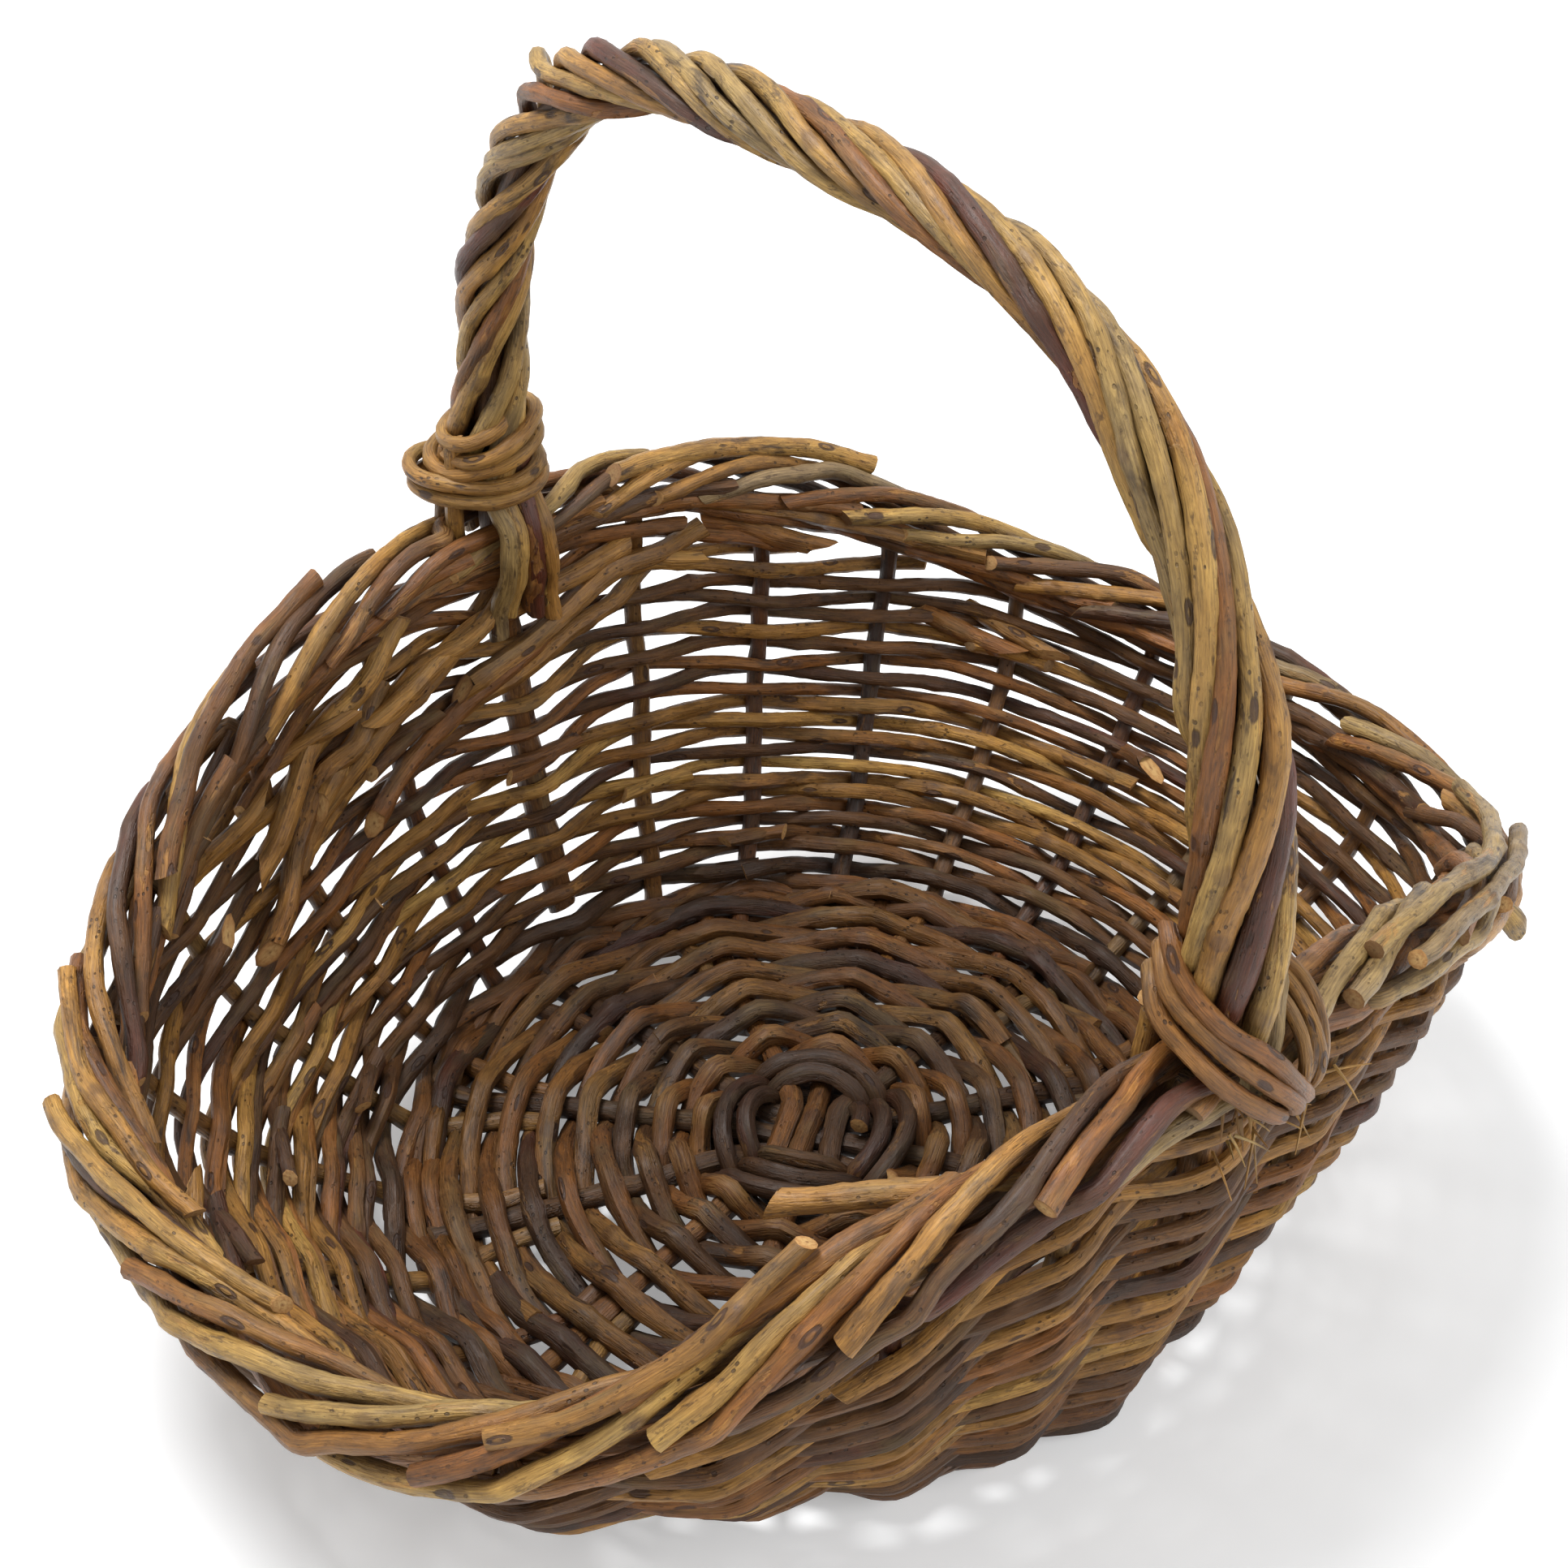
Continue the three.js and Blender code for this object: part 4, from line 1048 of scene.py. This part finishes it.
def handle_strand(number, count):
    rng = draws(800 + number)
    distance = np.linspace(-3, ARCH_TOTAL + 3, 230)
    phase = number / count + twist_phase(distance)
    angle = (phase + 0.02 * waves(rng, distance, 60, 190)) * TURN
    tailed = [np.cos(angle[end]) < 0.35 for end in (0, -1)]
    short = [17 if tail else -3 for tail in tailed]
    keep = (distance > short[0]) & (distance < ARCH_TOTAL - short[1])
    distance, angle = distance[keep], angle[keep]
    share = distance / ARCH_TOTAL
    at, out, across = arch_frame(distance)
    radius = twist_radius(distance) * 0.98 * leg_fullness(distance)
    radius = radius + 0.4 * waves(rng, distance, 50, 160)
    shoulder = hump(share, SHOULDER_PLACE, 0.08)
    radius = radius + SHOULDER_BULGE * shoulder * np.maximum(np.cos(angle), 0) ** 5
    if number == LOOP_STRAND:
        radius = radius + LOOP_HEIGHT * hump(distance, LOOP_PLACE * ARCH_TOTAL, LOOP_WIDTH)
    aim = out * np.cos(angle)[:, None] + across * np.sin(angle)[:, None]
    points = at + aim * radius[:, None]
    thick = mix(HANDLE_ROD_TOP_RADIUS * 1.03, HANDLE_ROD_RADIUS, foot_share(distance))
    thick = thick * mix(1.0, 0.94, smooth_step((share - 0.6) / 0.3))
    thick = thick * rng.uniform(0.92, 1.08) * leg_fullness(distance) ** 0.6
    if tailed[0]:
        tail = tail_points(0.0, np.sin(angle[0]) * 8, rng.uniform(18, 26))[::-1]
        points = np.vstack([tail, points])
        thick = np.concatenate([np.full(TAIL_POINTS, thick[0]), thick])
    if tailed[1]:
        tail = tail_points(0.5, -np.sin(angle[-1]) * 8, rng.uniform(18, 26))
        points = np.vstack([points, tail])
        thick = np.concatenate([thick, np.full(TAIL_POINTS, thick[-1])])
    tone = STRAND_TONES[number]
    # The core line gives the strands painted shade on their sides that face the arch
    return make_rod(
        points, thick, 420 + number, sides=10, spacing=2.0, rounding=5,
        tone=(tone - 0.03, tone + 0.03), wobble=0.2, core=ARCH_LINE)


def add_handle():
    legs = np.linspace(14, wall_total(0.0)[0], LEG_POINTS + 1)[:-1]
    right = off_wall(np.zeros(LEG_POINTS), legs, 0.0)
    left = off_wall(np.full(LEG_POINTS, 0.5), legs, 0.0)
    over = np.linspace(0, ARCH_TOTAL, 80)
    leg_radii = np.full(LEG_POINTS, BOW_RADIUS)
    arch_radii = mix(BOW_TOP_RADIUS, BOW_RADIUS, foot_share(over))
    points = np.vstack([right, arch_point(over), left[::-1]])
    radii = np.concatenate([leg_radii, arch_radii, leg_radii])
    bow = make_rod(points, radii, 400, sides=12, tone=(0.2, 0.4), wobble=0.1)
    add_piece("handle_core", [bow], "willow_handle", "handle_bow")
    count = HANDLE_RODS + 1
    rods = [handle_strand(number, count) for number in range(count)]
    for number in range(HANDLE_RODS):
        own = rods[number:] if number == HANDLE_RODS - 1 else [rods[number]]
        name = number + 1
        add_piece(f"handle_strand_{name}", own, "willow_handle", f"handle_rod_{name}")


# The lashings
# One loop over the handle's foot and under the border, from the rim's point at the foot
LOOP_KNOTS = (
    (-11.5, -9, 25), (-3.5, -14, 21), (8, -12.2, 14), (14.3, -4.5, 6), (14.5, 5, -4), (9, 11, -11),
    (0, 12, -14.5), (-10, 10, -10), (-16.5, 6, 0), (-17.5, 0, 10), (-15, -5, 18),
)
LASHING_LOOK = dict(rounding=1, sides=10, spacing=1.8)

# Spans of the places of fibres, along, outward and upward, and of their headings
WRAP_FIBRES = ((-14, 30), (8, 13), (-13, -4), (0.1, 1), (-1, 1), (-1, 0.3))
TORN_FIBRES = ((-6, 8), (6, 10), (-8, 1), (0.2, 1), (-1, 0.6), (-1, 0.2))


def crossed_lashing():
    """Three loops side by side, crossing the foot on +X from inside above to outside below."""
    knots = np.array(LOOP_KNOTS, float)
    count = len(knots)
    turns = np.linspace(0, 2.9, 220)
    place = turns * count
    low = np.floor(place).astype(int)
    part = (place - low)[:, None]
    before, here, after, beyond = (knots[np.mod(low + step, count)] for step in (-1, 0, 1, 2))
    points = 0.5 * (2 * here + (after - before) * part
                    + (2 * before - 5 * here + 4 * after - beyond) * part**2
                    + (3 * here - before - 3 * after + beyond) * part**3)
    aside = (turns - 1.4) * 4.5
    above = smooth_step((points[:, 2] + 10) / 14)
    shift = columns(0.0, -aside * 0.35 * above - aside * (1 - above), -aside * above)
    return rim_point(0.0) + points + shift


def border_loops():
    """Thin loops round the border itself, close beside the foot on +X."""
    turns = np.linspace(0, 3.4, 170)
    angle = math.radians(95) - turns * TURN
    middle = rim_point((10.5 + turns * 1.7) / RIM_TOTAL)
    upward = np.where(np.sin(angle) > 0, 17, 14.5)
    reach = np.where(np.cos(angle) > 0, 12.8, 15) + 0.7 * np.sin(turns * 3)
    return middle + columns(np.cos(angle) * reach, 0.0, np.sin(angle) * upward)


def plain_lashing():
    """Wraps above the border on -X, the lowest drawn outward round its outer side."""
    turns = np.linspace(-0.4, 4.6, 260)
    low = 1 - smooth_step((turns - 1.4) / 1.4)
    distance = ARCH_TOTAL - (15 + turns * 4.4)
    at, out, across = arch_frame(distance)
    rod = mix(HANDLE_ROD_TOP_RADIUS, HANDLE_ROD_RADIUS, foot_share(distance))
    reach = (twist_radius(distance) + rod) * leg_fullness(distance) + LASHING_RADIUS * 0.8 - 0.5
    tucked = 4.5 * smooth_step((turns - 4.3) / 0.3), 4.5 * smooth_step((-0.1 - turns) / 0.3)
    reach = reach - tucked[0] - tucked[1]
    cosine, sine = np.cos(turns * TURN), np.sin(turns * TURN)
    facing = cosine * 0.64 + sine * 0.77
    toward = np.maximum(facing, 0) * low
    tilt = columns(0.0, 0.0, -facing * 4.5 * (1 - low))
    outward = (cosine * reach + toward * 5.2)[:, None]
    forward = (sine * reach + toward * 6.2)[:, None]
    return at + out * outward - across * forward + tilt


def fibre_start(rng, spans):
    """A random place beside the foot on +X, and where the fibre there heads."""
    along, outward, upward, *heading = (rng.uniform(*span) for span in spans)
    return border_place(along / RIM_TOTAL, outward, upward)[0], unit(np.array(heading))


def fibre(seed, start, heading, length, sag, thick, tip, **look):
    along = np.linspace(0, 1, 6)[:, None]
    points = start + heading * along * length + np.array([0, 0, -sag]) * along**2
    return make_rod(points, np.linspace(thick, tip, 6), seed, sides=5, **look)


def right_lashing():
    yield make_rod(crossed_lashing(), LASHING_RADIUS, 500, tone=(0.42, 0.46), **LASHING_LOOK)
    yield make_rod(border_loops(), LASHING_RADIUS * 0.72, 501, tone=(0.5, 0.56), **LASHING_LOOK)
    rng = draws(520)
    for number in range(14):
        start, heading = fibre_start(rng, WRAP_FIBRES)
        sag, length = rng.uniform(0, 3), rng.uniform(5, 13)
        yield fibre(521 + number, start, heading, length, sag, 0.45, 0.12,
                    spacing=1.5, tone=(0.7, 0.9), wobble=0.1)


def left_lashing():
    radius = LASHING_RADIUS * 0.94
    yield make_rod(plain_lashing(), radius, 502, tone=(0.66, 0.72), **LASHING_LOOK)
    for number, lean in enumerate((-0.45, 0.15, 0.7)):
        distance = np.linspace(ARCH_TOTAL - 1, ARCH_TOTAL - 25 - 3 * number, 14)
        at, out, across = arch_frame(distance)
        aim = out * math.cos(0.88 + lean) - across * math.sin(0.88 + lean)
        points = at + aim * (twist_radius(distance) + 5.2 - 0.06 * (ARCH_TOTAL - distance))[:, None]
        yield make_rod(points, 2.3, 504 + number, tone=(0.3, 0.7), slants=(0.3, 0.8))


def torn_fibres():
    rng = draws(530)
    for number in range(16):
        start, heading = fibre_start(rng, TORN_FIBRES)
        thick = 1.5 if number < 2 else rng.uniform(0.35, 0.7)
        length = rng.uniform(5, 9)
        yield fibre(531 + number, start, heading, length, 2.0, thick, 0.15,
                    spacing=1.2, wobble=0.15)


add_base()
add_wall()
add_piece("base_edge_rods", edge_rods(), "willow_base")
add_piece("wall_doubled_rods", doubled_rods(), "willow_weaver")
add_piece("packing_rods_right", packing_rods(0), "willow_weaver", "packing_right")
add_piece("packing_rods_left", packing_rods(UPRIGHTS // 2), "willow_weaver", "packing_left")
inner = [*slanting_rods(), *inner_ends()]
add_piece("inner_rod_ends", inner, "willow_weaver", bark=BARKS["willow_stake"])
add_stakes()
add_piece("border_rods", border_rods(), "willow_stake")
add_piece("border_loose_rods", loose_rods(), "willow_stake")
add_handle()
add_piece("lashing_right_wrap", right_lashing(), "willow_lashing", "lashing_right")
add_piece("lashing_left_wrap", left_lashing(), "willow_lashing", "lashing_left")
add_piece("torn_fibres", torn_fibres(), "willow_lashing", bark=CUT_WOOD)

# Floor, light and camera, in metres
FLOOR_HALF = 6.0
FLOOR_COLOR = (0.86, 0.87, 0.88, 1)
GLOW_PLACES = (0.7, 2.6)
GLOW_STRENGTHS = (0.3, 0.62)
AMBIENT = 0.45
CAMERA_PLACE = (0.36686, -0.32033, 0.51578)
CAMERA_RIGHT = (0.644086, 0.76494, 0.004582)
CAMERA_DOWN = (0.478924, -0.398573, -0.782158)


def add_floor():
    """A plain floor that fades to white further out, and keeps the basket's shadow."""
    mesh = bpy.data.meshes.new("floor")
    corners = [(x * FLOOR_HALF, y * FLOOR_HALF, 0) for x, y in ((-1, -1), (1, -1), (1, 1), (-1, 1))]
    mesh.from_pydata(corners, [], [(0, 1, 2, 3)])
    floor = place_object("floor", mesh)
    material = bpy.data.materials.new("pale_floor")
    nodes = Nodes(material)
    away = nodes.length(nodes.add("NewGeometry").outputs["Position"])
    glow = nodes.span(away, *GLOW_PLACES, *GLOW_STRENGTHS)
    matte = nodes.add("BsdfDiffuse", {"Color": FLOOR_COLOR})
    light = nodes.add("Emission", {"Strength": nodes.times(nodes.white_rays(), glow)})
    both = nodes.add("AddShader", {0: matte.outputs[0], 1: light.outputs[0]})
    nodes.add("OutputMaterial", {0: both.outputs[0]})
    mesh.materials.append(material)


def add_world():
    world = bpy.data.worlds.new("studio")
    bpy.context.scene.world = world
    nodes = Nodes(world)
    strength = nodes.span(nodes.white_rays(), 0.0, 1.0, AMBIENT, 1.0)
    background = nodes.add("Background", {"Color": (1, 1, 1, 1), "Strength": strength})
    nodes.add("OutputWorld", {0: background.outputs[0]})


def place_turned(name, data, place, side, up, back):
    """Places a lamp or the camera, with its own axes along these directions."""
    thing = place_object(name, data)
    thing.location = place
    thing.rotation_mode = "QUATERNION"
    thing.rotation_quaternion = Matrix(np.stack([side, up, back], axis=1).tolist()).to_quaternion()
    return thing


def add_light(name, place, aim, size, power):
    data = bpy.data.lights.new(name, "AREA")
    data.shape = "DISK"
    data.size = size
    data.energy = power
    back = unit(np.array(place, float) - np.array(aim, float))
    side = unit(np.cross([0, 0, 1], back) + np.array([1e-6, 0, 0]))
    place_turned(name, data, place, side, np.cross(back, side), back)


def add_camera():
    data = bpy.data.cameras.new("camera")
    data.sensor_width = 36
    data.lens = 62.39
    data.clip_start = 0.01
    data.clip_end = 60
    right, down = np.array(CAMERA_RIGHT), np.array(CAMERA_DOWN)
    ahead = np.cross(right, down)
    bpy.context.scene.camera = place_turned("camera", data, CAMERA_PLACE, right, -down, -ahead)


add_floor()
add_world()
add_light("key", (-0.5, -0.2, 1.7), (0, 0, 0.1), 0.8, 30)
add_light("side", (1.2, 0.5, 0.9), (0, 0, 0.12), 0.9, 8)
add_camera()
bpy.context.scene.view_settings.view_transform = "Standard"
